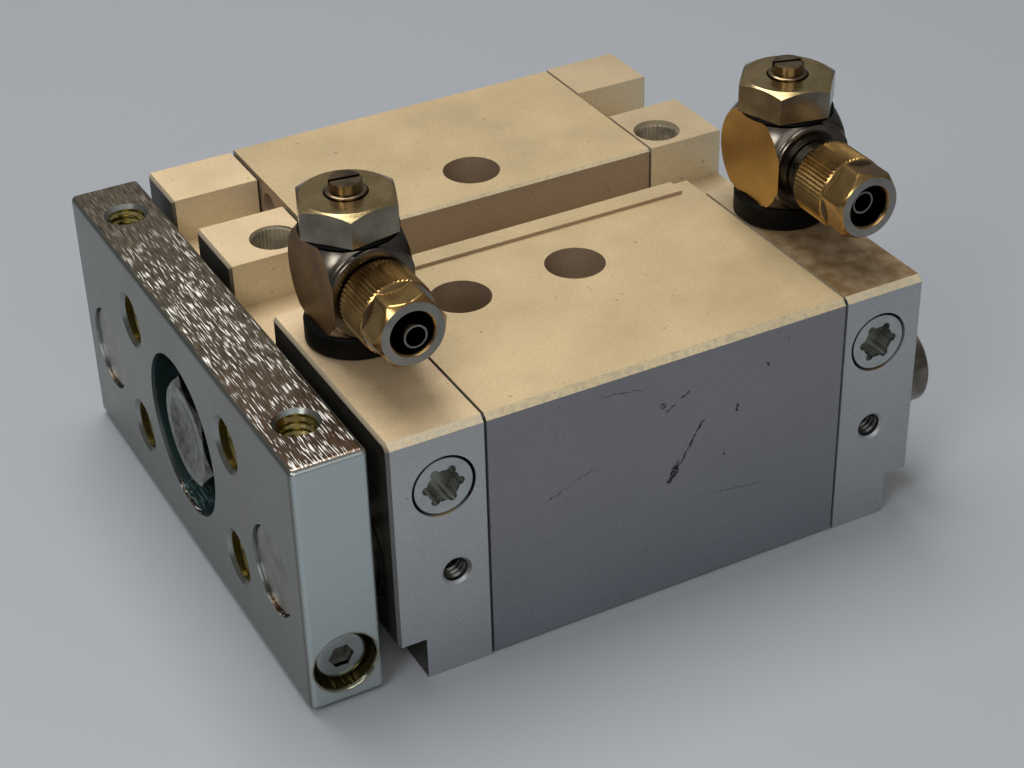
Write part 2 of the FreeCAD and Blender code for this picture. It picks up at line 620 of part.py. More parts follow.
def make_plate():
    plate = box((PLATE_BACK_X, PLATE_FRONT_X), (-PLATE_HALF_WIDTH, PLATE_HALF_WIDTH),
                (PLATE_BOTTOM_Z, PLATE_TOP_Z))
    plate = plate.makeFillet(PLATE_ROUNDING, plate.Edges)
    tools = guide_bars(GUIDE_ROD_R + PLATE_ROD_GAP, 0, FAR)
    tools.append(along_x(ROD_BOLT_R + ROD_BOLT_CLEARANCE, 0, CYLINDER_Z, 0, FAR))
    tools.append(along_x(CENTRE_BORE_R, 0, CYLINDER_Z, PLATE_FRONT_X - CENTRE_BORE_DEPTH, FAR))
    for z in PLATE_HOLE_Z:
        hole = bevelled_hole(PLATE_HOLE_R, PLATE_THICKNESS + 1, PLATE_HOLE_BEVEL)
        tools += both_sides(placed(hole, V(PLATE_FRONT_X, PLATE_HOLE_Y, z), X_AXIS))
    hole = bevelled_hole(PLATE_TOP_HOLE_R, PLATE_TOP_HOLE_DEPTH, PLATE_TOP_HOLE_BEVEL)
    tools += both_sides(placed(hole, V(PLATE_MID_X, GUIDE_Y, PLATE_TOP_Z), Z_AXIS))
    clamp_end_y = CLAMP_INNER_Y[0] - CLAMP_END_ROOM
    clamp_bore = bar(CLAMP_R + CLAMP_GAP, V(PLATE_MID_X, clamp_end_y, CLAMP_Z),
                     V(PLATE_MID_X, FAR, CLAMP_Z))
    tools += both_sides(clamp_bore)
    return cut(plate, tools)


def make_guide_rod(side):
    start_x = REAR_X - GUIDE_ROD_REAR_REACH
    length = PLATE_FRONT_X - GUIDE_ROD_SINK - start_x
    rear = GUIDE_ROD_CHAMFER
    front = GUIDE_ROD_FRONT_BEVEL
    outline = [(0, 0), (GUIDE_ROD_R - rear, 0), (GUIDE_ROD_R, rear),
               (GUIDE_ROD_R, length - front), (GUIDE_ROD_R - front, length), (0, length)]
    rod = turned(outline, V(start_x, side * GUIDE_Y, GUIDE_Z), X_AXIS)
    centre_mark = [(0, -1), (GUIDE_ROD_CENTRE_R, -1), (GUIDE_ROD_CENTRE_R, 0),
                   (0, GUIDE_ROD_CENTRE_R)]
    return rod.cut(turned(centre_mark, V(start_x, side * GUIDE_Y, GUIDE_Z), X_AXIS))


def make_piston():
    at = V(PISTON_REAR_X, 0, CYLINDER_Z)
    piston = ring(PISTON_R, PISTON_STUB_R, at, X_AXIS, PISTON_LENGTH)
    grooves = []
    for x in SEAL_X:
        grooves.append(ring(FAR, SEAL_INNER_R, V(x, 0, CYLINDER_Z), X_AXIS, SEAL_WIDTH))
    grooves.append(ring(FAR, SEAL_INNER_R, V(MAGNET_X, 0, CYLINDER_Z), X_AXIS, MAGNET_WIDTH))
    return cut(piston, grooves)


def make_piston_seals():
    seals = []
    for x in SEAL_X:
        start = V(x, 0, CYLINDER_Z)
        seals.append(ring(CYLINDER_R - SEAL_GAP, SEAL_INNER_R, start, X_AXIS, SEAL_WIDTH))
    return Part.makeCompound(seals)


def make_piston_rod():
    """The rod, the stub through the piston, and the thread in its front end."""
    front = PLATE_BACK_X - PISTON_REAR_X
    shoulder = PISTON_FRONT_X - PISTON_REAR_X
    outline = [(0, 0), (PISTON_STUB_R, 0), (PISTON_STUB_R, shoulder), (ROD_R, shoulder),
               (ROD_R, front), (0, front)]
    rod = turned(outline, V(PISTON_REAR_X, 0, CYLINDER_Z), X_AXIS)
    thread_end_x = PLATE_BACK_X - ROD_BOLT_REACH - ROD_BOLT_END_ROOM
    thread = along_x(ROD_BOLT_R, 0, CYLINDER_Z, thread_end_x, FAR)
    return rod.cut(thread)


def make_rod_bolt():
    """The screw that ties the plate to the piston rod, with a dished hexagon head."""
    seat_x = PLATE_FRONT_X - CENTRE_BORE_DEPTH + ROD_WASHER_THICKNESS
    reach = seat_x - PLATE_BACK_X + ROD_BOLT_REACH
    head = bevelled_hexagon(ROD_BOLT_FLATS, ROD_BOLT_HEAD_HEIGHT, ROD_BOLT_TURN,
                            ROD_BOLT_FACE_R)
    dish_z = ROD_BOLT_HEAD_HEIGHT + ROD_BOLT_DISH_R - ROD_BOLT_DISH_DEPTH
    dish = Part.makeSphere(ROD_BOLT_DISH_R, V(0, 0, dish_z))
    shank = bar(ROD_BOLT_R - ROD_BOLT_THREAD_GAP, V(0, 0, -reach), V(0, 0, 0))
    bolt = fuse([head.cut(dish), shank])
    return placed(bolt, V(seat_x, 0, CYLINDER_Z), X_AXIS)


def make_rod_washer():
    start = V(PLATE_FRONT_X - CENTRE_BORE_DEPTH, 0, CYLINDER_Z)
    return ring(ROD_WASHER_R, ROD_BOLT_R + ROD_BOLT_CLEARANCE, start, X_AXIS, ROD_WASHER_THICKNESS)


def make_clamps(y_range, hole_r):
    """One clamp piece under each guide rod, hollowed to sit against it."""
    low, high = y_range
    piece = ring(CLAMP_R, hole_r, V(PLATE_MID_X, low, CLAMP_Z), Y_AXIS, high - low)
    piece = piece.cut(along_x(GUIDE_ROD_R + CLAMP_SEAT_GAP, GUIDE_Y, GUIDE_Z, 0, FAR))
    return Part.makeCompound(both_sides(piece))


def make_clamp_screws():
    head_y = CLAMP_OUTER_Y[1]
    reach = head_y - CLAMP_INNER_Y[0]
    screw = socket_screw(CLAMP_SCREW_R, reach, CLAMP_HEAD_R, CLAMP_HEAD_HEIGHT,
                         CLAMP_SOCKET_FLATS)
    screw = placed(screw, V(PLATE_MID_X, head_y, CLAMP_Z), Y_AXIS)
    return Part.makeCompound(both_sides(screw))


# ---- flow control fittings: built upright at the origin, outlet along +Y ----------------
def make_banjo_bolt(hex_turn):
    """The hollow bolt that holds a fitting, with cross holes to its swivelling body."""
    head = bevelled_hexagon(HEX_FLATS, HEX_TOP - HEX_BOTTOM, hex_turn, HEX_FACE_R)
    head.translate(V(0, 0, HEX_BOTTOM))
    stem = turned([(0, -STEM_DEPTH), (STEM_THREAD_R, -STEM_DEPTH), (STEM_THREAD_R, 0),
                   (STEM_R, 0), (STEM_R, HEX_BOTTOM), (0, HEX_BOTTOM)], V(0, 0, 0), Z_AXIS)
    recess_z = HEX_TOP - NEEDLE_RECESS_DEPTH
    tools = [bar(NEEDLE_BORE_R, V(0, 0, -FAR), V(0, 0, FAR)),
             bar(NEEDLE_COLLAR_R + NEEDLE_RECESS_ROOM, V(0, 0, recess_z), V(0, 0, FAR)),
             bar(CROSS_HOLE_R, V(-FAR, 0, OUTLET_Z), V(FAR, 0, OUTLET_Z)),
             bar(CROSS_HOLE_R, V(0, -FAR, OUTLET_Z), V(0, FAR, OUTLET_Z))]
    return cut(fuse([head, stem]), tools)


def make_seal_ring():
    bevel = RING_BEVEL
    inner_r = STEM_THREAD_R + RING_INNER_GAP
    outline = [(inner_r, 0), (RING_R - bevel, 0), (RING_R, bevel), (RING_R, RING_HEIGHT - bevel),
               (RING_R - bevel, RING_HEIGHT), (inner_r, RING_HEIGHT)]
    return turned(outline, V(0, 0, 0), Z_AXIS)


def make_shim():
    start = V(0, 0, BANJO_TOP + SWIVEL_GAP)
    return ring(STEM_R + SHIM_STEP, STEM_R + SWIVEL_GAP, start, Z_AXIS, SHIM_SEAT - SWIVEL_GAP)


def make_banjo():
    """The ball-shaped body that swivels on the bolt, flat on two sides."""
    ball = Part.makeSphere(SPHERE_R, V(0, 0, SPHERE_Z))
    ball = ball.common(box((-SPHERE_FLAT_X, SPHERE_FLAT_X), (-FAR, SPHERE_FLAT_Y),
                           (BANJO_BOTTOM, BANJO_TOP)))
    foot = bar(RING_R - BANJO_FOOT_STEP, V(0, 0, BANJO_BOTTOM),
               V(0, 0, BANJO_BOTTOM + BANJO_FOOT_HEIGHT))
    collar = bar(OUTLET_COLLAR_R, V(0, 0, OUTLET_Z), V(0, OUTLET_COLLAR_Y, OUTLET_Z))
    body = fuse([ball, foot, collar])
    outlet = V(0, OUTLET_SOCKET_Y, OUTLET_Z)
    tools = [bar(BANJO_BORE_R, V(0, 0, -FAR), V(0, 0, FAR)),
             bar(BANJO_BORE_R + BANJO_GROOVE_DEPTH, V(0, 0, OUTLET_Z - CROSS_HOLE_R),
                 V(0, 0, OUTLET_Z + CROSS_HOLE_R)),
             bar(OUTLET_SOCKET_R, outlet, outlet + Y_AXIS * FAR),
             bar(CROSS_HOLE_R, V(0, 0, OUTLET_Z), outlet)]
    return cut(body, tools)


def make_nipple():
    """The threaded stub and tube nipple that stand out of the swivelling body."""
    bevel = STUB_BEVEL
    barb = NIPPLE_BARB
    barb_y = NIPPLE_END_Y - NIPPLE_BARB_LENGTH
    outline = [(NIPPLE_BORE_R, OUTLET_SOCKET_Y), (OUTLET_SOCKET_R, OUTLET_SOCKET_Y),
               (OUTLET_SOCKET_R, OUTLET_COLLAR_Y), (STUB_R, OUTLET_COLLAR_Y),
               (STUB_R, STUB_END_Y - bevel), (STUB_R - bevel, STUB_END_Y),
               (NIPPLE_R, STUB_END_Y), (NIPPLE_R, barb_y - barb),
               (NIPPLE_R + barb, barb_y), (NIPPLE_R - barb, NIPPLE_END_Y),
               (NIPPLE_BORE_R, NIPPLE_END_Y)]
    return turned(outline, V(0, 0, OUTLET_Z), Y_AXIS)


def knurl(length):
    """A straight-knurled bar that stands on the XY plane."""
    corners = []
    for i in range(2 * NUT_KNURL_COUNT):
        radius = NUT_KNURL_R - NUT_KNURL_DEPTH * (i % 2)
        angle = math.pi * i / NUT_KNURL_COUNT
        corners.append((radius * math.cos(angle), radius * math.sin(angle)))
    return prism(corners, length)


def make_union_nut(nut_turn, backed_off):
    """The knurled nut with a short hexagon, backed off along the outlet."""
    bevel = NUT_KNURL_BEVEL
    sleeve_crown = turned([(0, 0), (NUT_KNURL_R - bevel, 0), (NUT_KNURL_R, bevel),
                           (NUT_KNURL_R, NUT_KNURL_LENGTH - bevel),
                           (NUT_KNURL_R - bevel, NUT_KNURL_LENGTH),
                           (0, NUT_KNURL_LENGTH)], V(0, 0, 0), Z_AXIS)
    sleeve = knurl(NUT_KNURL_LENGTH).common(sleeve_crown)
    hex_start = NUT_KNURL_LENGTH + NUT_NECK_LENGTH
    neck = bar(NUT_NECK_R, V(0, 0, NUT_KNURL_LENGTH), V(0, 0, hex_start))
    hex_part = bevelled_hexagon(NUT_HEX_FLATS, NUT_LENGTH - hex_start, nut_turn, NUT_FACE_R)
    hex_part.translate(V(0, 0, hex_start))
    nut = fuse([sleeve, neck, hex_part])
    mouth = NUT_MOUTH_BEVEL
    hollow = turned([(0, -1), (NUT_CAVITY_R, -1), (NUT_CAVITY_R, NUT_CAVITY_DEPTH),
                     (NUT_BORE_R, NUT_CAVITY_DEPTH + NUT_CONE_LENGTH),
                     (NUT_BORE_R, NUT_LENGTH - mouth), (NUT_BORE_R + mouth, NUT_LENGTH),
                     (0, NUT_LENGTH)], V(0, 0, 0), Z_AXIS)
    return placed(nut.cut(hollow), V(0, NUT_START_Y + backed_off, OUTLET_Z), Y_AXIS)


def make_needle(slot_turn):
    """The slotted screw that sets the flow, with its collar, O-ring groove and tip."""
    floor = HEX_TOP - NEEDLE_RECESS_DEPTH + SWIVEL_GAP
    cone_top = NEEDLE_BOTTOM + NEEDLE_CONE_HEIGHT
    groove_half = ORING_R + ORING_SIDE_GAP
    groove_r = ORING_CENTRE_R - ORING_R - ORING_FLOOR_GAP
    bevel = NEEDLE_BEVEL
    neck = (floor + NEEDLE_COLLAR_HEIGHT, floor + NEEDLE_HEAD_HEIGHT - bevel)
    outline = [(0, NEEDLE_BOTTOM), (NEEDLE_TIP_R, NEEDLE_BOTTOM), (NEEDLE_CONE_R, cone_top),
               (NEEDLE_R, cone_top + NEEDLE_SHOULDER_HEIGHT), (NEEDLE_R, ORING_Z - groove_half),
               (groove_r, ORING_Z - groove_half), (groove_r, ORING_Z + groove_half),
               (NEEDLE_R, ORING_Z + groove_half), (NEEDLE_R, floor), (NEEDLE_COLLAR_R, floor),
               (NEEDLE_COLLAR_R - bevel, neck[0] - bevel), (NEEDLE_NECK_R, neck[0]),
               (NEEDLE_NECK_R, neck[1]), (NEEDLE_HEAD_R, neck[1] + bevel),
               (NEEDLE_HEAD_R, NEEDLE_TOP - bevel), (NEEDLE_HEAD_R - bevel, NEEDLE_TOP),
               (0, NEEDLE_TOP)]
    screw = turned(outline, V(0, 0, 0), Z_AXIS)
    half = NEEDLE_SLOT_WIDTH / 2
    slot = box((-FAR, FAR), (-half, half), (NEEDLE_TOP - NEEDLE_SLOT_DEPTH, FAR))
    slot.rotate(V(0, 0, 0), Z_AXIS, slot_turn)
    return screw.cut(slot)


def make_needle_oring():
    return Part.makeTorus(ORING_CENTRE_R, ORING_R, V(0, 0, ORING_Z))


def fitting(name, port_x, stance):
    """Every piece of one fitting, moved onto its port."""
    pieces = {"seal_ring": make_seal_ring(),
              "banjo_bolt": make_banjo_bolt(stance["hex_turn"]),
              "shim_ring": make_shim(),
              "banjo": make_banjo(),
              "nipple": make_nipple(),
              "union_nut": make_union_nut(stance["nut_turn"], stance["backed_off"]),
              "needle": make_needle(stance["slot_turn"]),
              "needle_oring": make_needle_oring()}
    for shape in pieces.values():
        shape.translate(V(port_x, PORT_Y, NEAR_TOP_Z))
    return {f"{name}_{key}": shape for key, shape in pieces.items()}


# ---- the whole part ----------------------------------------------------------------------
def make_housing():
    front_inner = BARREL_FRONT_X + GASKET_THICKNESS
    head_x = FRONT_X - CAP_SCREW_HEAD_HEIGHT - CAP_SCREW_HEAD_SINK
    return {
        "barrel": make_barrel(),
        "front_cap": make_front_cap(),
        "rear_cap": make_rear_cap(),
        "front_gasket": make_gasket(BARREL_FRONT_X),
        "rear_gasket": make_gasket(BARREL_REAR_X - GASKET_THICKNESS),
        "guide_bushes": make_guide_bushes(),
        "front_wipers": make_wipers(FRONT_X - WIPER_LENGTH, X_AXIS),
        "rear_wipers": make_wipers(REAR_X + WIPER_LENGTH, -X_AXIS),
        "front_cap_screws": make_cap_screws(head_x, X_AXIS),
        "rear_cap_screws": make_cap_screws(-head_x, -X_AXIS),
        "side_plugs": make_side_plugs(),
        "rod_bush": ring(ROD_BUSH_R, ROD_R + ROD_RUNNING_GAP, V(front_inner, 0, CYLINDER_Z),
                         X_AXIS, ROD_BUSH_LENGTH),
        "rod_seal": ring(ROD_SEAL_R, ROD_R + SEAL_GAP,
                         V(FRONT_X - ROD_SEAL_LENGTH, 0, CYLINDER_Z), X_AXIS, ROD_SEAL_LENGTH),
        "front_cushion": make_cushion(BARREL_FRONT_X - CUSHION_THICKNESS,
                                      ROD_R + CUSHION_ROD_GAP),
        "rear_cushion": make_cushion(BARREL_REAR_X - GASKET_THICKNESS, REAR_CUSHION_HOLE_R),
    }


def make_yoke():
    return {
        "yoke_plate": make_plate(),
        "near_guide_rod": make_guide_rod(1),
        "far_guide_rod": make_guide_rod(-1),
        "piston_rod": make_piston_rod(),
        "piston": make_piston(),
        "piston_seals": make_piston_seals(),
        "piston_magnet": ring(MAGNET_R, SEAL_INNER_R, V(MAGNET_X, 0, CYLINDER_Z), X_AXIS,
                              MAGNET_WIDTH),
        "rod_bolt": make_rod_bolt(),
        "rod_washer": make_rod_washer(),
        "outer_clamps": make_clamps(CLAMP_OUTER_Y, CLAMP_SCREW_R + CLAMP_SCREW_CLEARANCE),
        "inner_clamps": make_clamps(CLAMP_INNER_Y, CLAMP_SCREW_R + CLAMP_SCREW_THREAD_GAP),
        "clamp_screws": make_clamp_screws(),
    }


def main():
    nodes = {}
    nodes.update(make_housing())
    nodes.update(make_yoke())
    nodes.update(fitting("front", PORT_X[0], FRONT_STANCE))
    nodes.update(fitting("rear", PORT_X[1], REAR_STANCE))
    os.makedirs("parts", exist_ok=True)
    for name, shape in nodes.items():
        shape.exportStep(f"parts/{name}.step")
    print(len(nodes), "nodes written")


main()
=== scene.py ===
# %% [markdown]
# # Guided pneumatic cylinder
# The construction comes from a finished frame: every machined piece is already there at its
# real size. This file gives those pieces their finishes, adds the fine shapes that a solid
# model leaves out, and sets up a small studio. Every length is in metres, and MM turns
# millimetres into them.

# %% Load the frame
import json
import math
import bmesh
import bpy
from mathutils import Matrix, Vector


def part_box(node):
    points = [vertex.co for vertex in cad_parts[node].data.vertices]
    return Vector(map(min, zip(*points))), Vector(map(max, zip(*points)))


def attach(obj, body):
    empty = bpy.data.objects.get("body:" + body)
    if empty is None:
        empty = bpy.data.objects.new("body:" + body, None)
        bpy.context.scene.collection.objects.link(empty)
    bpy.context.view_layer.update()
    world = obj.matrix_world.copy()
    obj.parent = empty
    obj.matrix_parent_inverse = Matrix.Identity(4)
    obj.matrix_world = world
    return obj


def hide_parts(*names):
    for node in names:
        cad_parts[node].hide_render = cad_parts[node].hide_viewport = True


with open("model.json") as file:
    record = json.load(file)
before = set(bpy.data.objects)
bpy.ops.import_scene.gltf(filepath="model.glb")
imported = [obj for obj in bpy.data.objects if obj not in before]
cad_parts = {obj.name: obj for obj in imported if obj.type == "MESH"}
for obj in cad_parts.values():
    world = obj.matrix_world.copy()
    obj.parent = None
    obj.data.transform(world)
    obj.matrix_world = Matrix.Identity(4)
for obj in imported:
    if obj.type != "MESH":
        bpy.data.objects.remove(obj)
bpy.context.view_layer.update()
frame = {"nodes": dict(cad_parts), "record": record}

MM = 0.001
mounts = {m["name"]: m for m in frame["record"]["mounts"]}

# %% [markdown]
# A camera is a place, a direction and a focal length. The object is seen from above its port
# side, with the plate to the left, through a lens of about 75 mm. The three rows say which
# way the camera's right, its down and its line of sight point in the object's own axes.

# %% The camera
CAMERA_PLACE = Vector((118.89, 225.82, 177.54)) * MM
CAMERA_RIGHT = Vector((-0.87986, 0.47467, -0.02302))
CAMERA_DOWN = Vector((0.27743, 0.47372, -0.83583))
CAMERA_SIGHT = Vector((-0.38584, -0.74181, -0.54850))
LENS_MM = 74.71
SENSOR_MM = 36.0


def make_camera():
    data = bpy.data.cameras.new("camera")
    data.lens = LENS_MM
    data.sensor_width = SENSOR_MM
    data.clip_start = 0.01
    camera = bpy.data.objects.new("camera", data)
    columns = (CAMERA_RIGHT, -CAMERA_DOWN, -CAMERA_SIGHT)
    turn = Matrix([[c[i] for c in columns] for i in range(3)])
    camera.matrix_world = Matrix.Translation(CAMERA_PLACE) @ turn.to_4x4()
    bpy.context.scene.collection.objects.link(camera)
    bpy.context.scene.camera = camera
    bpy.context.scene.view_settings.view_transform = "Standard"


make_camera()
print("camera", round(CAMERA_PLACE.length / MM), "mm from the origin")

# %% [markdown]
# Colours are written as sRGB hex, as a paint chart gives them, and one function turns them
# into the linear values that shaders use. A second small function adds a node to a tree and
# fills its sockets with numbers, colours or other nodes. Every finish below is made with it.

# %% Colours and nodes
def colour(text):
    parts = [int(text[i:i + 2], 16) / 255 for i in (1, 3, 5)]
    linear = [p / 12.92 if p <= 0.04045 else ((p + 0.055) / 1.055) ** 2.4 for p in parts]
    return (*linear, 1.0)


def add(tree, kind, inputs=None, **settings):
    """Adds a node, sets its options, and fills its inputs with values or other nodes."""
    made = tree.nodes.new("ShaderNode" + kind)
    for name, value in settings.items():
        setattr(made, name, value)
    for key, value in (inputs or {}).items():
        if isinstance(key, str):
            socket = next(s for s in made.inputs if s.enabled and s.name == key)
        else:
            socket = made.inputs[key]
        if isinstance(value, bpy.types.Node):
            value = next(s for s in value.outputs if s.enabled)
        if isinstance(value, bpy.types.NodeSocket):
            tree.links.new(value, socket)
        else:
            socket.default_value = value
    return made


print("champagne in linear light:", [round(v, 3) for v in colour("#c3aa82")])

# %% [markdown]
# Metal shows mostly what stands around it, so a studio for metal is a set of bright and dark
# areas. One large soft lamp hangs almost overhead, a little behind the object, so that the
# tops are lit and the near sides are in open shade. A small lamp puts sharp highlights on
# the round metal, a weak large one opens the shade, and the sky is darker near the horizon
# than overhead, which gives round metal its dark band.

# %% The studio
def area_lamp(name, place, size, watts):
    """A square lamp that faces the middle of the object."""
    data = bpy.data.lights.new(name, "AREA")
    data.size = size
    data.energy = watts
    lamp = bpy.data.objects.new(name, data)
    lamp.location = place
    sight = Vector((0, 0, 20 * MM)) - Vector(place)
    lamp.rotation_euler = sight.to_track_quat("-Z", "Y").to_euler()
    bpy.context.scene.collection.objects.link(lamp)


def make_sky():
    world = bpy.data.worlds.new("studio")
    bpy.context.scene.world = world
    world.use_nodes = True
    tree = world.node_tree
    tree.nodes.clear()
    way = add(tree, "TexCoord").outputs["Generated"]
    height = add(tree, "SeparateXYZ", {0: way}).outputs["Z"]
    level = add(tree, "MapRange", {0: height, 1: 0.0, 2: 0.85, 3: 0.13, 4: 0.36})
    sky = add(tree, "Background", {"Color": colour("#f7f6f4"), "Strength": level})
    add(tree, "OutputWorld", {"Surface": sky})


def make_floor():
    """A plain pale floor, which belongs to the studio and not to the object."""
    mesh = bpy.data.meshes.new("floor")
    bm = bmesh.new()
    bmesh.ops.create_grid(bm, x_segments=1, y_segments=1, size=1.6)
    bmesh.ops.translate(bm, verts=bm.verts, vec=(0, 0, -0.05 * MM))
    bm.to_mesh(mesh)
    bm.free()
    floor = bpy.data.objects.new("floor", mesh)
    bpy.context.scene.collection.objects.link(floor)
    material = bpy.data.materials.new("pale_floor")
    material.use_nodes = True
    shader = material.node_tree.nodes["Principled BSDF"]
    shader.inputs["Base Color"].default_value = colour("#9a9ea3")
    shader.inputs["Roughness"].default_value = 0.5
    floor.data.materials.append(material)


make_sky()
make_floor()
area_lamp("key", (0.01, -0.20, 0.66), 0.42, 3.3)
area_lamp("sparkle", (0.46, 0.30, 0.50), 0.20, 1.4)
area_lamp("front", (0.10, 0.62, 0.42), 0.50, 1.3)

# %% [markdown]
# A finish is a function that builds a node tree. The patterns read Object coordinates, which
# are metres here, so the scale of a noise whose grains are one millimetre wide is 1000. The
# direction that a face looks in tells a top from a side and from a bevel, so that one
# material can hold a blasted top and a milled side.

# %% What every finish starts from
def per_metre(millimetres):
    """The scale of a pattern whose features have that size."""
    return 1.0 / (millimetres * MM)


def finish(name):
    """A new material: its tree, and the point and the direction of its surface."""
    material = bpy.data.materials.new(name)
    material.use_nodes = True
    tree = material.node_tree
    tree.nodes.clear()
    place = add(tree, "TexCoord")
    return material, tree, place.outputs["Object"], place.outputs["Normal"]


def around_line(tree, point, across, centre):
    """Distance in metres from a line through centre; across keeps the two other axes."""
    offset = add(tree, "VectorMath", {0: point, 1: centre}, operation="SUBTRACT")
    flat = add(tree, "VectorMath", {0: offset, 1: across}, operation="MULTIPLY")
    return add(tree, "VectorMath", {0: flat}, operation="LENGTH")


def dress(material, *nodes):
    """Gives a finish to nodes of the frame."""
    for name in nodes:
        mesh = frame["nodes"][name].data
        mesh.materials.clear()
        mesh.materials.append(material)
    print(material.name, "on", len(nodes), "nodes")


print("a grain of 1 mm has a noise scale of", round(per_metre(1)))

# %% [markdown]
# A black scuff is where something rubbed against the grey side. It is painted as a long
# thin ellipse: the point is carried into the ellipse's own frame, where its edge is at 1.
# The point is shaken a little first, so that the edge is ragged.

# %% Scuffs
SCUFFS = [  # start x, start z, end x, end z, half width, in millimetres on the near side
    (-5.3, 25.8, -3.9, 23.6, 0.22), (-4.2, 24.2, -2.9, 21.6, 0.16),
    (-3.1, 22.2, -1.1, 18.9, 0.15), (-1.6, 20.4, -0.4, 17.6, 0.55),
    (-1.0, 18.4, 0.3, 17.4, 0.30), (0.7, 29.9, 1.3, 29.3, 0.35),
    (0.6, 28.3, -1.0, 29.5, 0.16), (-1.5, 29.8, -3.1, 30.7, 0.14),
    (-10.2, 26.2, -10.1, 24.9, 0.22), (-14.6, 31.1, -15.0, 30.6, 0.25),
    (-8.2, 19.8, -8.7, 18.8, 0.20), (-17.0, 12.0, -6.0, 13.5, 0.05),
    (10.0, 24.0, 19.0, 20.5, 0.05), (3.0, 33.0, 12.0, 34.2, 0.04)]


def scuffs(tree, point, marks, y):
    """1 inside the black marks on the face at that y, 0 elsewhere."""
    shake = add(tree, "TexNoise", {"Vector": point, "Scale": per_metre(0.9), "Detail": 3.0})
    ragged = add(tree, "VectorMath", {0: shake.outputs["Color"], 1: (0.9 * MM,) * 3, 2: point},
                 operation="MULTIPLY_ADD")
    shift = 0.45  # the shaking moves every point by half its range
    depth = 2.0   # reaches into the face
    cover = None
    for x0, z0, x1, z1, half in marks:
        middle = ((x0 + x1) / 2 + shift, y + shift, (z0 + z1) / 2 + shift)
        length = math.hypot(x1 - x0, z1 - z0)
        size = (length / 2, depth, half)
        own = add(tree, "Mapping", {"Vector": ragged,
                                    "Location": [v * MM for v in middle],
                                    "Rotation": (0, -math.atan2(z1 - z0, x1 - x0), 0),
                                    "Scale": [v * MM for v in size]}, vector_type="TEXTURE")
        reach = add(tree, "VectorMath", {0: own}, operation="LENGTH")
        mark = add(tree, "MapRange", {0: reach, 1: 1.15, 2: 0.7})
        cover = mark if cover is None else add(tree, "Math", {0: cover, 1: mark},
                                               operation="MAXIMUM")
    rub = add(tree, "TexNoise", {"Vector": point, "Scale": per_metre(0.35), "Detail": 2.0})
    broken = add(tree, "MapRange", {0: rub, 1: 0.36, 2: 0.50})
    return add(tree, "Math", {0: cover, 1: broken}, operation="MULTIPLY")


print("scuffs:", len(SCUFFS))

# %% [markdown]
# The housing is extruded and milled aluminium, glass-bead blasted and anodised. Blasting
# leaves a fine even sparkle. Its pits are too fine to show, so they are drawn at 0.26 mm. The
# tops are painted champagne as warm light from above, and the sides greyer as painted shade;
# the sides are painted darker still towards the floor, and walls nearer the middle lighter and
# warmer as a painted reflection of the tops. The milled bevels on top are worn lighter and
# also carry a painted highlight, and handling leaves a few dark specks. A brown mottled patch
# on the caps' tops, mostly on the rear one, is painted shade and reflection of the fittings.
# The threaded holes in the sides are painted dark as shade, and so is the front cap's end
# face up to about the height of the plate that stands before it, as the plate's painted
# shadow.

# %% Anodised aluminium
# painted shade: a side darkens towards the floor between the next two heights
SIDE_SHADE_FADE = (26 * MM, 2 * MM)         # a side darkens between these heights
# painted reflection: walls nearer the middle are painted lighter and warmer, as the tops
# reflect in them
OUTER_SIDE = (39.3 * MM, 38.9 * MM)   # a wall nearer the middle isn't an outer side
FITTING_SHADE_SPAN = (6 * MM, 20 * MM)              # the painted shade of the fittings grows across the port block
# above this height the bevels are worn lighter and also carry a painted highlight
CROWN = (33.5 * MM, 34.5 * MM)        # bevels below this height are unworn
# painted shadow of the plate: the front cap's end face is dark below these heights
PLATE_SHADOW_HEIGHTS = (37 * MM, 36 * MM)          # behind the plate, the front cap is dark below here
NEAR_SIDE_Y = 39.7
SIDE_HOLE_R = 1.68


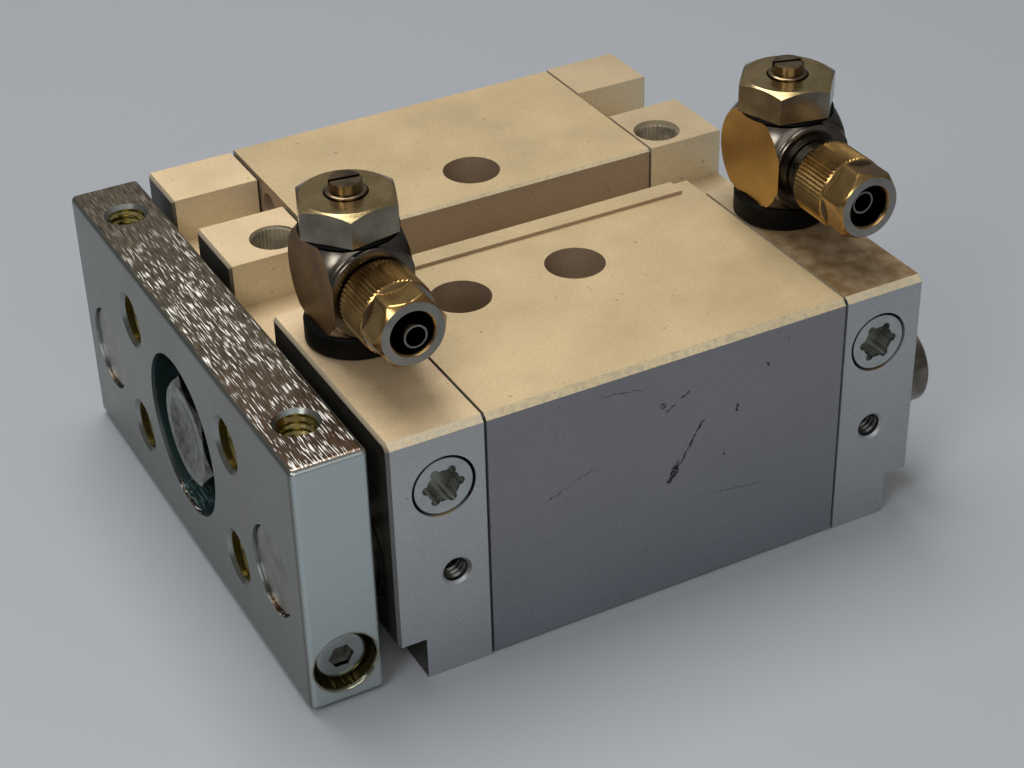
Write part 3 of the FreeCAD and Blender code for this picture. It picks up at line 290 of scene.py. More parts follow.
def anodised(name, top, side, bevel, side_painted_shade, inner, fitting_shade_strength, holes=(), marks=(),
             painted_plate_shadow=False):
    """Tops painted as lit champagne, sides as shaded grey, bevels worn and painted lighter; the
    argument after inner is the strength of the fittings' painted shade.
    """
    material, tree, point, way = finish(name)
    up = add(tree, "SeparateXYZ", {0: way}).outputs["Z"]
    flat = add(tree, "MapRange", {0: up, 1: 0.90, 2: 0.97})
    above = add(tree, "MapRange", {0: up, 1: 0.25, 2: 0.45})
    slope = add(tree, "Math", {0: above, 1: flat}, operation="SUBTRACT")
    site = add(tree, "SeparateXYZ", {0: point})
    # painted shade: the sides take the darker colour towards the floor
    low = add(tree, "MapRange", {0: site.outputs["Z"], 1: SIDE_SHADE_FADE[0],
                                 2: SIDE_SHADE_FADE[1]})
    out = add(tree, "Math", {0: site.outputs["Y"]}, operation="ABSOLUTE")
    within = add(tree, "MapRange", {0: out, 1: OUTER_SIDE[0], 2: OUTER_SIDE[1]})
    sand = add(tree, "TexNoise", {"Vector": point, "Scale": per_metre(0.26), "Detail": 3.0})
    cloud = add(tree, "TexNoise", {"Vector": point, "Scale": per_metre(12), "Detail": 4.0,
                                   "Roughness": 0.6})
    spot = add(tree, "TexNoise", {"Vector": point, "Scale": per_metre(0.9), "Detail": 2.0})
    # painted shade: the sides are a grey, shaded copy of the champagne top
    walls = add(tree, "Mix", {"Factor": low, "A": colour(side), "B": colour(side_painted_shade)},
                data_type="RGBA")
    # painted reflection: inner walls take the lighter, warmer colour of the tops' reflection
    walls = add(tree, "Mix", {"Factor": within, "A": walls, "B": colour(inner)},
                data_type="RGBA")
    # painted shade and reflection of the fittings: a brown mottled patch on the tops near the
    # ports
    fitting_shade = add(tree, "MapRange", {0: site.outputs["Y"], 1: FITTING_SHADE_SPAN[0], 2: FITTING_SHADE_SPAN[1]})
    blot = add(tree, "TexNoise", {"Vector": point, "Scale": per_metre(2.2), "Detail": 4.0})
    blot = add(tree, "MapRange", {0: blot, 1: 0.30, 2: 0.66, 3: 0.45, 4: 1.0})
    fitting_shade = add(tree, "Math", {0: fitting_shade, 1: blot}, operation="MULTIPLY")
    fitting_shade = add(tree, "Math", {0: fitting_shade, 1: fitting_shade_strength}, operation="MULTIPLY")
    roof = add(tree, "Mix", {"Factor": fitting_shade, "A": colour(top), "B": colour("#6f5026")},
               data_type="RGBA")
    # painted light: faces looking up take the warm lit champagne, the rest the shaded walls
    base = add(tree, "Mix", {"Factor": flat, "A": walls, "B": roof}, data_type="RGBA")
    nick = add(tree, "MapRange", {0: spot, 1: 0.40, 2: 0.52, 3: 0.75, 4: 1.0})
    crown = add(tree, "MapRange", {0: site.outputs["Z"], 1: CROWN[0], 2: CROWN[1]})
    nick = add(tree, "Math", {0: nick, 1: crown}, operation="MULTIPLY")
    # worn bevels, and a painted highlight on the slopes that look up
    edge = add(tree, "Math", {0: slope, 1: nick}, operation="MULTIPLY")
    base = add(tree, "Mix", {"Factor": edge, "A": base, "B": colour(bevel)}, data_type="RGBA")
    tone = add(tree, "MapRange", {0: sand, 1: 0.3, 2: 0.7, 3: 0.90, 4: 1.08})
    drift = add(tree, "MapRange", {0: cloud, 1: 0.32, 2: 0.68, 3: 0.96, 4: 1.03})
    level = add(tree, "Math", {0: tone, 1: drift}, operation="MULTIPLY")
    base = add(tree, "Mix", {"Factor": 1.0, "A": base, "B": level}, data_type="RGBA",
               blend_type="MULTIPLY")
    speck = add(tree, "MapRange", {0: spot, 1: 0.72, 2: 0.76, 3: 0.0, 4: 0.5})
    base = add(tree, "Mix", {"Factor": speck, "A": base, "B": colour("#4a4239")},
               data_type="RGBA")
    # painted shade: the threaded side holes are darkened inside
    for centre in holes:
        reach = around_line(tree, point, (1, 0, 1), centre)
        inside = add(tree, "MapRange", {0: reach, 1: (SIDE_HOLE_R + 0.02) * MM,
                                        2: SIDE_HOLE_R * MM})
        base = add(tree, "Mix", {"Factor": inside, "A": base, "B": colour("#2b2a29")},
                   data_type="RGBA")
    if marks:
        base = add(tree, "Mix", {"Factor": scuffs(tree, point, marks, NEAR_SIDE_Y),
                                 "A": base, "B": colour("#1d1b1a")}, data_type="RGBA")
    # painted shadow: the front cap's face behind the plate is darkened below the plate's height
    if painted_plate_shadow:
        front = add(tree, "SeparateXYZ", {0: way}).outputs["X"]
        front = add(tree, "MapRange", {0: front, 1: 0.4, 2: 0.8})
        near = add(tree, "MapRange", {0: site.outputs["Z"], 1: PLATE_SHADOW_HEIGHTS[0],
                                      2: PLATE_SHADOW_HEIGHTS[1]})
        shade = add(tree, "Math", {0: front, 1: near}, operation="MULTIPLY")
        base = add(tree, "Mix", {"Factor": shade, "A": base, "B": colour("#37342f")},
                   data_type="RGBA")
    gloss = add(tree, "MapRange", {0: cloud, 1: 0.3, 2: 0.7, 3: 0.40, 4: 0.52})
    relief = add(tree, "Bump", {"Strength": 0.45, "Distance": 0.02 * MM, "Height": sand})
    shader = add(tree, "BsdfPrincipled", {"Base Color": base, "Metallic": 0.5,
                                          "Roughness": gloss, "Normal": relief})
    add(tree, "OutputMaterial", {"Surface": shader})
    return material


SIDE_HOLES = [Vector(mounts[name]["pos_m"])
              for name in ("near_front_side_hole", "near_rear_side_hole")]
dress(anodised("anodised_extrusion", "#c7b087", "#7e7e82", "#d2c19c", "#74787f", "#a18d76",
               0.0, marks=SCUFFS), "barrel")
# painted light: the front cap's top is lighter than the others, to offset the shade its fitting
# casts
dress(anodised("anodised_front_cap", "#ddc49c", "#a6a8aa", "#d8c8a8", "#92969b", "#d8c8a8",
               0.20, SIDE_HOLES, painted_plate_shadow=True), "front_cap")
dress(anodised("anodised_rear_cap", "#c6b08c", "#a0a3a6", "#d8c8a8", "#92969b", "#d8c8a8",
               0.85, SIDE_HOLES), "rear_cap")

# %% [markdown]
# The plate is mild steel, ground along its length and zinc plated. Grinding leaves darker
# streaks on the top edge; the short bright glints between them are painted highlights, fewer
# at the far end, and the top is browner at the near end. The broad faces are smooth and a
# little green, and the ends are painted lighter as a reflection. Yellow passivation collects
# in the bores, which are painted darker as shade, and the centre bore's wall is a painted teal
# reflection. A point counts as inside a bore when it is away from every outer face of the
# plate's own box. The grinding marks are too fine to show, so they are drawn at 0.17 mm.

# %% Zinc plated steel
GRIND_STRETCH = 0.065                # a mark is about 15 times as long as it is wide
CENTRE_BORE = (11.5 * MM, 11.35 * MM)
FAR_END = (-27 * MM, -12 * MM)       # glints start between these
BROWN_END = (5 * MM, 32 * MM)        # the brown grows between these


def zinc_plate(name):
    material, tree, point, way = finish(name)
    low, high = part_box("yoke_plate")
    centre, half = (low + high) / 2, (high - low) / 2
    offset = add(tree, "VectorMath", {0: point, 1: centre}, operation="SUBTRACT")
    spread = add(tree, "VectorMath", {0: offset}, operation="ABSOLUTE")
    past = add(tree, "VectorMath", {0: spread, 1: [h - MM for h in half]},
               operation="SUBTRACT")  # how far into the outermost millimetre
    kept = add(tree, "VectorMath", {0: past, 1: (0, 0, 0)}, operation="MAXIMUM")
    skin = add(tree, "VectorMath", {0: kept, 1: (1 / MM,) * 3}, operation="DOT_PRODUCT")
    inside = add(tree, "MapRange", {0: skin, 1: 0.55, 2: 0.40})
    middle = Vector(mounts["yoke_bolts"]["pos_m"])
    centre_bore_reflection = add(tree, "MapRange", {0: around_line(tree, point, (0, 1, 1), middle),
                                  1: CENTRE_BORE[0], 2: CENTRE_BORE[1]})
    up = add(tree, "SeparateXYZ", {0: way}).outputs["Z"]
    top = add(tree, "MapRange", {0: up, 1: 0.85, 2: 0.96})
    grain = add(tree, "Mapping", {"Vector": point, "Scale": (1, GRIND_STRETCH, 1)})
    streak = add(tree, "TexNoise", {"Vector": grain, "Scale": per_metre(0.17), "Detail": 1.0})
    band = add(tree, "TexNoise", {"Vector": point, "Scale": per_metre(4), "Detail": 3.0})
    cloud = add(tree, "TexNoise", {"Vector": point, "Scale": per_metre(9), "Detail": 3.0})
    along = add(tree, "SeparateXYZ", {0: point}).outputs["Y"]
    worked = add(tree, "MapRange", {0: along, 1: FAR_END[0], 2: FAR_END[1], 3: 0.12,
                                    4: 1.0})
    tone = add(tree, "MapRange", {0: streak, 1: 0.32, 2: 0.66})
    ground = add(tree, "Mix", {"Factor": tone, "A": colour("#574e42"), "B": colour("#978a74")},
                 data_type="RGBA")
    warm = add(tree, "MapRange", {0: along, 1: BROWN_END[0], 2: BROWN_END[1], 3: 0.0,
                                  4: 0.75})
    ground = add(tree, "Mix", {"Factor": warm, "A": ground, "B": colour("#604835")},
                 data_type="RGBA")
    # painted highlight: short white glints on the ground top, fewer at the far end
    spark = add(tree, "Math", {0: band, 1: 0.35, 2: streak}, operation="MULTIPLY_ADD")
    painted_glint = add(tree, "MapRange", {0: spark, 1: 0.76, 2: 0.84})
    painted_glint = add(tree, "Math", {0: painted_glint, 1: worked}, operation="MULTIPLY")
    painted_glint = add(tree, "Math", {0: painted_glint, 1: top}, operation="MULTIPLY")
    face = add(tree, "Mix", {"Factor": cloud, "A": colour("#69706a"), "B": colour("#7c7a72")},
               data_type="RGBA")
    # painted reflection: the plate's ends are painted lighter than its broad faces
    side = add(tree, "SeparateXYZ", {0: way}).outputs["Y"]
    side = add(tree, "Math", {0: side}, operation="ABSOLUTE")
    side = add(tree, "MapRange", {0: side, 1: 0.5, 2: 0.95})
    face = add(tree, "Mix", {"Factor": side, "A": face, "B": colour("#b6bfbf")},
               data_type="RGBA")
    base = add(tree, "Mix", {"Factor": top, "A": face, "B": ground}, data_type="RGBA")
    base = add(tree, "Mix", {"Factor": painted_glint, "A": base, "B": colour("#fbf8f0")},
               data_type="RGBA")
    # yellow passivation in the bores, darkened as painted shade; the centre bore's wall is a
    # painted teal reflection
    bore = add(tree, "Mix", {"Factor": centre_bore_reflection, "A": colour("#6a5f34"), "B": colour("#5f7c7a")},
               data_type="RGBA")
    base = add(tree, "Mix", {"Factor": inside, "A": base, "B": bore}, data_type="RGBA")
    metal = add(tree, "MapRange", {0: painted_glint, 1: 0, 2: 1, 3: 0.9, 4: 0.2})
    gloss = add(tree, "MapRange", {0: cloud, 1: 0.3, 2: 0.7, 3: 0.22, 4: 0.30})
    drawn = add(tree, "Math", {0: streak, 1: top}, operation="MULTIPLY")
    relief = add(tree, "Bump", {"Strength": 0.5, "Distance": 0.03 * MM, "Height": drawn})
    shader = add(tree, "BsdfPrincipled", {"Base Color": base, "Metallic": metal,
                                          "Roughness": gloss, "Normal": relief})
    add(tree, "OutputMaterial", {"Surface": shader})
    return material


dress(zinc_plate("zinc_plated_steel"), "yoke_plate")

# %% [markdown]
# Turned, ground and cast surfaces need no pattern of their own beyond a slow change of tone
# from handling and a fine grain in the gloss. One function makes them all, from the two
# colours that the tone moves between and from how rough the surface is.

# %% Plain metals, rubber and plastic
def worked_metal(name, light, dark, roughness, grain_mm=0.3, metallic=1.0, cloud_mm=2.5,
                 specular=0.5):
    """One surface whose tone drifts between two colours, with a fine grain in its gloss."""
    material, tree, point, _ = finish(name)
    cloud = add(tree, "TexNoise", {"Vector": point, "Scale": per_metre(cloud_mm),
                                   "Detail": 3.0})
    grain = add(tree, "TexNoise", {"Vector": point, "Scale": per_metre(grain_mm),
                                   "Detail": 3.0})
    tone = add(tree, "MapRange", {0: cloud, 1: 0.35, 2: 0.65})
    base = add(tree, "Mix", {"Factor": tone, "A": colour(dark), "B": colour(light)},
               data_type="RGBA")
    gloss = add(tree, "MapRange", {0: grain, 1: 0.3, 2: 0.7, 3: roughness - 0.05,
                                   4: roughness + 0.05})
    relief = add(tree, "Bump", {"Strength": 0.3, "Distance": 0.01 * MM, "Height": grain})
    shader = add(tree, "BsdfPrincipled", {"Base Color": base, "Metallic": metallic,
                                          "Roughness": gloss, "Normal": relief,
                                          "Specular IOR Level": specular})
    add(tree, "OutputMaterial", {"Surface": shader})
    return material


# nitrile rubber: moulded, dull, so that it only shows a soft sheen
dress(worked_metal("nitrile_rubber", "#211f1e", "#141313", 0.55, 0.5, 0.0), "front_gasket",
      "rear_gasket", "front_wipers", "rear_wipers", "rod_seal", "front_cushion",
      "rear_cushion", "piston_seals", "front_needle_oring", "rear_needle_oring",
      "piston_magnet")
# black polyamide: moulded, nearly black and with almost no shine
black_polyamide = worked_metal("black_polyamide", "#060505", "#030303", 0.55, 0.5, 0.0,
                               specular=0.1)
dress(black_polyamide, "front_seal_ring", "rear_seal_ring", "front_shim_ring",
      "rear_shim_ring")
# black-finished steel of the screws under the plate
dress(worked_metal("black_oxide_steel", "#45423e", "#2b2a29", 0.35), "front_cap_screws",
      "rear_cap_screws")
# galvanised screw steel: grey, with a soft shine
dress(worked_metal("galvanised_screw_steel", "#8f8d88", "#64615d", 0.3,
                   metallic=0.6), "clamp_screws")
# sintered bronze takes no polish and looks like fine brown sand
dress(worked_metal("sintered_bronze", "#a8824a", "#7d5f35", 0.40), "guide_bushes",
      "rod_bush")
# ground and hardened rod steel: smooth and grey-brown
dress(worked_metal("hardened_rod_steel", "#857e73", "#625c53", 0.22), "near_guide_rod",
      "far_guide_rod", "piston_rod")
# turned aluminium: pale, with a satin turning finish
dress(worked_metal("turned_aluminium", "#b8b8ba", "#98989a", 0.4), "piston")
# passivated steel of the bolt in the plate's centre: smooth, with brown and grey blotches
dress(worked_metal("passivated_bolt_steel", "#7d7f7b", "#4d473e", 0.24, 0.8, 1.0, 1.4),
      "rod_bolt", "rod_washer", "outer_clamps", "inner_clamps")


# %% [markdown]
# The port plugs are turned steel pressed in flush, with a six-lobed key recess. The recess is
# painted greyer, as the shade in it, and is duller than the face. A dark line runs round the
# plug where it meets the cap. The recess is told from the flat face by its depth, and the line
# by its distance from the plug's own axis.

# %% Port plugs
PLUG_LINE = (0.42, 0.30)     # the dark line starts this far inside the plug's edge
# painted shade: the recess is greyer below the next depth and inside the next distance
RECESS_DEPTH = (0.35, 1.0)   # the recess is greyer from this deep
RECESS_EDGE = (0.9, 1.0)     # and this far inside the plug's edge


def plug_steel(name):
    material, tree, point, _ = finish(name)
    low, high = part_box("side_plugs")
    radius = (high.z - low.z) / 2
    centre = Vector((low.x + radius, high.y, (low.z + high.z) / 2))
    other = Vector((high.x - radius, high.y, centre.z))
    near = add(tree, "Math", {0: around_line(tree, point, (1, 0, 1), centre),
                              1: around_line(tree, point, (1, 0, 1), other)},
               operation="MINIMUM")
    rim = add(tree, "MapRange", {0: near, 1: radius - PLUG_LINE[0] * MM,
                               2: radius - PLUG_LINE[1] * MM})
    depth = add(tree, "SeparateXYZ", {0: point}).outputs["Y"]
    recess_shade = add(tree, "MapRange", {0: depth, 1: high.y - RECESS_DEPTH[0] * MM,
                                2: high.y - RECESS_DEPTH[1] * MM})
    inner = add(tree, "MapRange", {0: near, 1: radius - RECESS_EDGE[0] * MM,
                                 2: radius - RECESS_EDGE[1] * MM})
    recess_shade = add(tree, "Math", {0: recess_shade, 1: inner}, operation="MULTIPLY")
    cloud = add(tree, "TexNoise", {"Vector": point, "Scale": per_metre(1.6), "Detail": 3.0})
    base = add(tree, "Mix", {"Factor": cloud, "A": colour("#989d9d"), "B": colour("#c6c9c7")},
               data_type="RGBA")
    # painted shade: the recess is painted greyer than the face
    base = add(tree, "Mix", {"Factor": recess_shade, "A": base, "B": colour("#83867f")},
               data_type="RGBA")
    base = add(tree, "Mix", {"Factor": rim, "A": base, "B": colour("#2a2a2a")},
               data_type="RGBA")
    gloss = add(tree, "MapRange", {0: cloud, 1: 0.3, 2: 0.7, 3: 0.22, 4: 0.34})
    relief = add(tree, "Bump", {"Strength": 0.3, "Distance": 0.02 * MM, "Height": cloud})
    metal = add(tree, "MapRange", {0: recess_shade, 3: 1.0, 4: 0.7})
    shader = add(tree, "BsdfPrincipled", {"Base Color": base, "Metallic": metal,
                                          "Roughness": gloss, "Normal": relief})
    add(tree, "OutputMaterial", {"Surface": shader})
    return material


dress(plug_steel("turned_plug_steel"), "side_plugs")


# %% [markdown]
# The hollow bolt of each fitting is nickel plated brass. Its top was faced in a lathe, which
# leaves rings round the axis, and the plating there has worn to gold. Its six sides stay
# greyer. The rings are a wave pattern about the bolt's own centre.

# %% Worn nickel on brass
RING_MM = 0.35  # from one turning mark to the next; the pattern has 20 / pi of them in 1 unit


def worn_nickel(name, node):
    material, tree, point, way = finish(name)
    low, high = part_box(node)
    centre = (low + high) / 2
    up = add(tree, "SeparateXYZ", {0: way}).outputs["Z"]
    top = add(tree, "MapRange", {0: up, 1: 0.30, 2: 0.95})
    local = add(tree, "VectorMath", {0: point, 1: centre}, operation="SUBTRACT")
    rings = add(tree, "TexWave", {"Vector": local, "Scale": per_metre(RING_MM * 20 / math.pi),
                                  "Distortion": 1.5, "Detail": 2.0}, wave_type="RINGS",
                rings_direction="Z")
    cloud = add(tree, "TexNoise", {"Vector": point, "Scale": per_metre(3.5), "Detail": 3.0})
    grain = add(tree, "TexNoise", {"Vector": point, "Scale": per_metre(0.3), "Detail": 2.0})
    worn = add(tree, "MapRange", {0: cloud, 1: 0.35, 2: 0.65})
    gold = add(tree, "Mix", {"Factor": worn, "A": colour("#97835a"), "B": colour("#b8a274")},
               data_type="RGBA")
    grey = add(tree, "Mix", {"Factor": worn, "A": colour("#716b5f"), "B": colour("#8d877a")},
               data_type="RGBA")
    base = add(tree, "Mix", {"Factor": top, "A": grey, "B": gold}, data_type="RGBA")
    turned = add(tree, "Math", {0: rings, 1: top}, operation="MULTIPLY")
    gloss = add(tree, "MapRange", {0: grain, 1: 0.3, 2: 0.7, 3: 0.17, 4: 0.27})
    relief = add(tree, "Bump", {"Strength": 0.25, "Distance": 0.01 * MM, "Height": turned})
    shader = add(tree, "BsdfPrincipled", {"Base Color": base, "Metallic": 1.0,
                                          "Roughness": gloss, "Normal": relief})
    add(tree, "OutputMaterial", {"Surface": shader})
    return material


dress(worn_nickel("worn_nickel_front", "front_banjo_bolt"), "front_banjo_bolt")
dress(worn_nickel("worn_nickel_rear", "rear_banjo_bolt"), "rear_banjo_bolt")


# %% [markdown]
# The swivelling body is brass under a dark bright nickel. Its two flats are satin; they are
# painted brown on the front fitting and golden on the rear one, as shaded and lit copies of one
# finish, and painted lighter towards the foot. The union nut is bare brass, its end face is
# grey, and its mouth is painted dark as shade. In both, the direction of the face tells the two
# finishes apart.

# %% Dark nickel and brass
# painted light: the flats get lighter towards the foot
FLAT_LIGHT_TO_FOOT = (50 * MM, 42 * MM)   # a flat gets lighter between these heights
# painted shade in the union nut's mouth
NUT_MOUTH_SHADE = (3.0 * MM, 2.8 * MM)    # dark within this radius


def two_finishes(name, axis, first, second, rough_first, rough_second, sheen_mm,
                 mouth=False):
    """One metal with another finish on the faces that look along an axis."""
    material, tree, point, way = finish(name)
    facing = add(tree, "SeparateXYZ", {0: way}).outputs[axis]
    turned = add(tree, "Math", {0: facing}, operation="ABSOLUTE")
    milled = add(tree, "MapRange", {0: turned, 1: 0.975, 2: 0.99})
    cloud = add(tree, "TexNoise", {"Vector": point, "Scale": per_metre(sheen_mm),
                                   "Detail": 3.0})
    grain = add(tree, "TexNoise", {"Vector": point, "Scale": per_metre(0.25), "Detail": 2.0})
    tone = add(tree, "MapRange", {0: cloud, 1: 0.35, 2: 0.65})
    one = add(tree, "Mix", {"Factor": tone, "A": colour(first[0]), "B": colour(first[1])},
              data_type="RGBA")
    two = add(tree, "Mix", {"Factor": tone, "A": colour(second[0]), "B": colour(second[1])},
              data_type="RGBA")
    # painted light: the flat colour lightens towards the foot
    height = add(tree, "SeparateXYZ", {0: point}).outputs["Z"]
    low = add(tree, "MapRange", {0: height, 1: FLAT_LIGHT_TO_FOOT[0], 2: FLAT_LIGHT_TO_FOOT[1],
                               3: 0.0, 4: 0.6})
    two = add(tree, "Mix", {"Factor": low, "A": two, "B": colour(second[1])},
              data_type="RGBA")
    base = add(tree, "Mix", {"Factor": milled, "A": one, "B": two}, data_type="RGBA")
    # painted shade: the union nut's mouth is darkened
    if mouth:
        reach = [around_line(tree, point, (1, 0, 1), (node_box[0] + node_box[1]) / 2)
                 for node_box in (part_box("front_union_nut"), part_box("rear_union_nut"))]
        near = add(tree, "Math", {0: reach[0], 1: reach[1]}, operation="MINIMUM")
        hole = add(tree, "MapRange", {0: near, 1: NUT_MOUTH_SHADE[0], 2: NUT_MOUTH_SHADE[1]})
        base = add(tree, "Mix", {"Factor": hole, "A": base, "B": colour("#1d1a16")},
                   data_type="RGBA")
    rough = add(tree, "MapRange", {0: milled, 3: rough_first, 4: rough_second})
    relief = add(tree, "Bump", {"Strength": 0.2, "Distance": 0.01 * MM, "Height": grain})
    shader = add(tree, "BsdfPrincipled", {"Base Color": base, "Metallic": 1.0,
                                          "Roughness": rough, "Normal": relief})
    add(tree, "OutputMaterial", {"Surface": shader})
    return material


# painted light: the flats are brown on the front fitting and golden on the rear, shaded and lit
# copies of one finish
dark_nickel = {"front": two_finishes("dark_nickel_front", "X", ("#4d4740", "#6a645b"),
                                     ("#7d6041", "#a07c4b"), 0.22, 0.32, 4.0),
               "rear": two_finishes("dark_nickel_rear", "X", ("#4d4740", "#6a645b"),
                                    ("#a58552", "#b8975c"), 0.22, 0.36, 4.0)}
nut_brass = two_finishes("nut_brass", "Y", ("#8e7146", "#ac8c57"), ("#7f7d76", "#95938c"),
                         0.22, 0.30, 3.0, mouth=True)
# the needle's steel has tarnished to a warm brown; the stub's thread and the nipple are
# turned and nickel plated, grey and mirror-like
needle_steel = worked_metal("needle_steel", "#8f7c60", "#5f5140", 0.22)
bright_nickel = worked_metal("bright_nickel", "#aaa598", "#7d786c", 0.16, metallic=0.7)
dress(worked_metal("nipple_nickel", "#8c8880", "#6c6861", 0.12), "front_nipple",
      "rear_nipple")
dress(needle_steel, "front_needle", "rear_needle")
dress(dark_nickel["front"], "front_banjo")
dress(dark_nickel["rear"], "rear_banjo")
dress(nut_brass, "front_union_nut", "rear_union_nut")


# %% [markdown]
# Fittings are turned parts, and a turned part is a stack of rings: each ring is extruded
# from the last one and moved to its own height and radius. A radius may depend on the angle,
# which gives a hexagon or a knurl on the same stack. The work is done in millimetres about
# the origin, and the finished mesh is then turned, scaled to metres and carried to its place.

# %% Ring stacks
def ring_stack(rings, segments):
    bm = bmesh.new()
    verts = bmesh.ops.create_circle(bm, radius=1.0, segments=segments)["verts"]
    for number, (height, radius) in enumerate(rings):
        if number:
            current = set(verts)
            edges = {e for v in verts for e in v.link_edges if current.issuperset(e.verts)}
            grown = bmesh.ops.extrude_edge_only(bm, edges=list(edges))["geom"]
            verts = [g for g in grown if isinstance(g, bmesh.types.BMVert)]
        for vert in verts:
            angle = math.atan2(vert.co.y, vert.co.x)
            reach = radius(angle) if callable(radius) else radius
            vert.co = Vector((math.cos(angle) * reach, math.sin(angle) * reach, height))
    bmesh.ops.remove_doubles(bm, verts=bm.verts, dist=0.0005)
    return bm


def close(bm):
    """Fills open ends and turns every face outwards."""
    rims = [e for e in bm.edges if e.is_boundary]
    if rims:
        bmesh.ops.holes_fill(bm, edges=rims, sides=0)
    bmesh.ops.recalc_face_normals(bm, faces=bm.faces)


def piece(name, bm, material, body, turn=None, place=(0, 0, 0), sharp=35.0):
    """Makes an object of a mesh in millimetres, in its place and riding on its body."""
    if turn is not None:
        bmesh.ops.rotate(bm, verts=bm.verts, cent=(0, 0, 0), matrix=turn)
    bmesh.ops.scale(bm, verts=bm.verts, vec=(MM, MM, MM))
    bmesh.ops.translate(bm, verts=bm.verts, vec=place)
    mesh = bpy.data.meshes.new(name)
    bm.to_mesh(mesh)
    bm.free()
    mesh.shade_smooth()
    mesh.set_sharp_from_angle(angle=math.radians(sharp))
    mesh.materials.append(material)
    made = bpy.data.objects.new(name, mesh)
    bpy.context.scene.collection.objects.link(made)
    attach(made, body)
    print(name, "has", len(mesh.polygons), "faces")
    return made


TOWARDS_Y = Matrix.Rotation(math.radians(-90), 3, "X")


def fitting_axis(end):
    """The vertical axis of a fitting at the block's top, from its seal ring."""
    low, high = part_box(end + "_seal_ring")
    return Vector(((low.x + high.x) / 2, (low.y + high.y) / 2, low.z))


for end in ("front", "rear"):
    print(end, "fitting stands at", [round(v / MM, 2) for v in fitting_axis(end)], "mm")

# %% [markdown]
# The body is a ball of 17.8 mm whose outlet leaves sideways. Ball, raised shoulder and
# threaded stub are all round about the outlet's axis, so they are one ring stack. The two
# flats, the top and the foot are then cut off by planes, and the cut faces filled. A thin
# brass ring under the ball has the same two flats.

# %% The swivelling body
BALL_R = 8.9
OUTLET_RISE = 9.35      # outlet axis above the block
BALL_FLAT = 5.5
BODY_TOP = 15.5
BODY_BOTTOM = 3.8
FOOT_BOTTOM = 3.45
STEM_BORE_R = 4.1
BALL_STEPS = 40
SHOULDER_R = 6.15
SHOULDER_END = 6.75
STUB_ROOT_R = 3.55
STUB_END = 13.0
STUB_BORE_R = 1.72
FOOT_R = 6.2


def ball_profile():
    """Heights along the outlet's axis with their radii, from the back to the stub's mouth."""
    rings = []
    last = math.degrees(math.acos(5.75 / BALL_R))
    for step in range(BALL_STEPS + 1):
        angle = math.radians(178.0 - (178.0 - last) * step / BALL_STEPS)
        rings.append((BALL_R * math.cos(angle), BALL_R * math.sin(angle)))
    rings += [(5.98, 6.52), (6.12, 6.30), (6.28, 6.20), (6.45, SHOULDER_R),
              (SHOULDER_END - 0.18, SHOULDER_R - 0.04),
              (SHOULDER_END - 0.05, SHOULDER_R - 0.15), (SHOULDER_END, SHOULDER_R - 0.32),
              (SHOULDER_END, 4.9), (SHOULDER_END - 0.05, 4.5), (SHOULDER_END - 0.1, 3.9),
              (SHOULDER_END, STUB_ROOT_R), (STUB_END - 0.4, STUB_ROOT_R),
              (STUB_END, STUB_ROOT_R - 0.3), (STUB_END, STUB_BORE_R),
              (SHOULDER_END, STUB_BORE_R), (SHOULDER_END, 0.02)]
    return rings


FLATS = [((BALL_FLAT, 0, 0), (1, 0, 0)), ((-BALL_FLAT, 0, 0), (-1, 0, 0))]


def cut_off(bm, planes):
    """Takes away what lies beyond each plane, and fills the cut."""
    for place, normal in planes:
        bmesh.ops.bisect_plane(bm, geom=bm.verts[:] + bm.edges[:] + bm.faces[:],
                               plane_co=place, plane_no=normal, clear_outer=True)
        close(bm)


def swivel_body(end):
    bm = ring_stack(ball_profile(), 160)
    close(bm)
    bmesh.ops.rotate(bm, verts=bm.verts, cent=(0, 0, 0), matrix=TOWARDS_Y)
    cut_off(bm, FLATS + [((0, 0, BODY_TOP - OUTLET_RISE), (0, 0, 1)),
                         ((0, 0, BODY_BOTTOM - OUTLET_RISE), (0, 0, -1))])
    at = fitting_axis(end) + Vector((0, 0, OUTLET_RISE * MM))
    body = piece(end + "_swivel_body", bm, dark_nickel[end], end + "_swivel",
                 place=at, sharp=28.0)
    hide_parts(end + "_banjo")
    foot_top = BODY_BOTTOM + 0.04
    foot = ring_stack([(FOOT_BOTTOM, STEM_BORE_R), (FOOT_BOTTOM, FOOT_R), (3.6, FOOT_R + 0.3),
                       (foot_top, FOOT_R + 0.6), (foot_top, STEM_BORE_R),
                       (FOOT_BOTTOM, STEM_BORE_R)], 96)
    close(foot)
    cut_off(foot, FLATS)
    piece(end + "_swivel_foot", foot, nut_brass, end + "_swivel",
          place=fitting_axis(end))


for end in ("front", "rear"):
    swivel_body(end)

# %% [markdown]
# A screw thread is one small profile carried round an axis while it climbs by the pitch, and
# the spin operator does exactly that. The ridge stands a little into its wall, so that no
# gap shows, and its two ends are closed. The plate's holes look inwards from its front face
# and its top, and the side holes from the sides.

# %% Screw threads
THREAD_STEPS = 40         # per turn
FACE_HOLES = (17.2, 8.7)  # from the middle of the plate's four holes, across and up
TOP_HOLE_Y = 29.6         # from the plate's middle


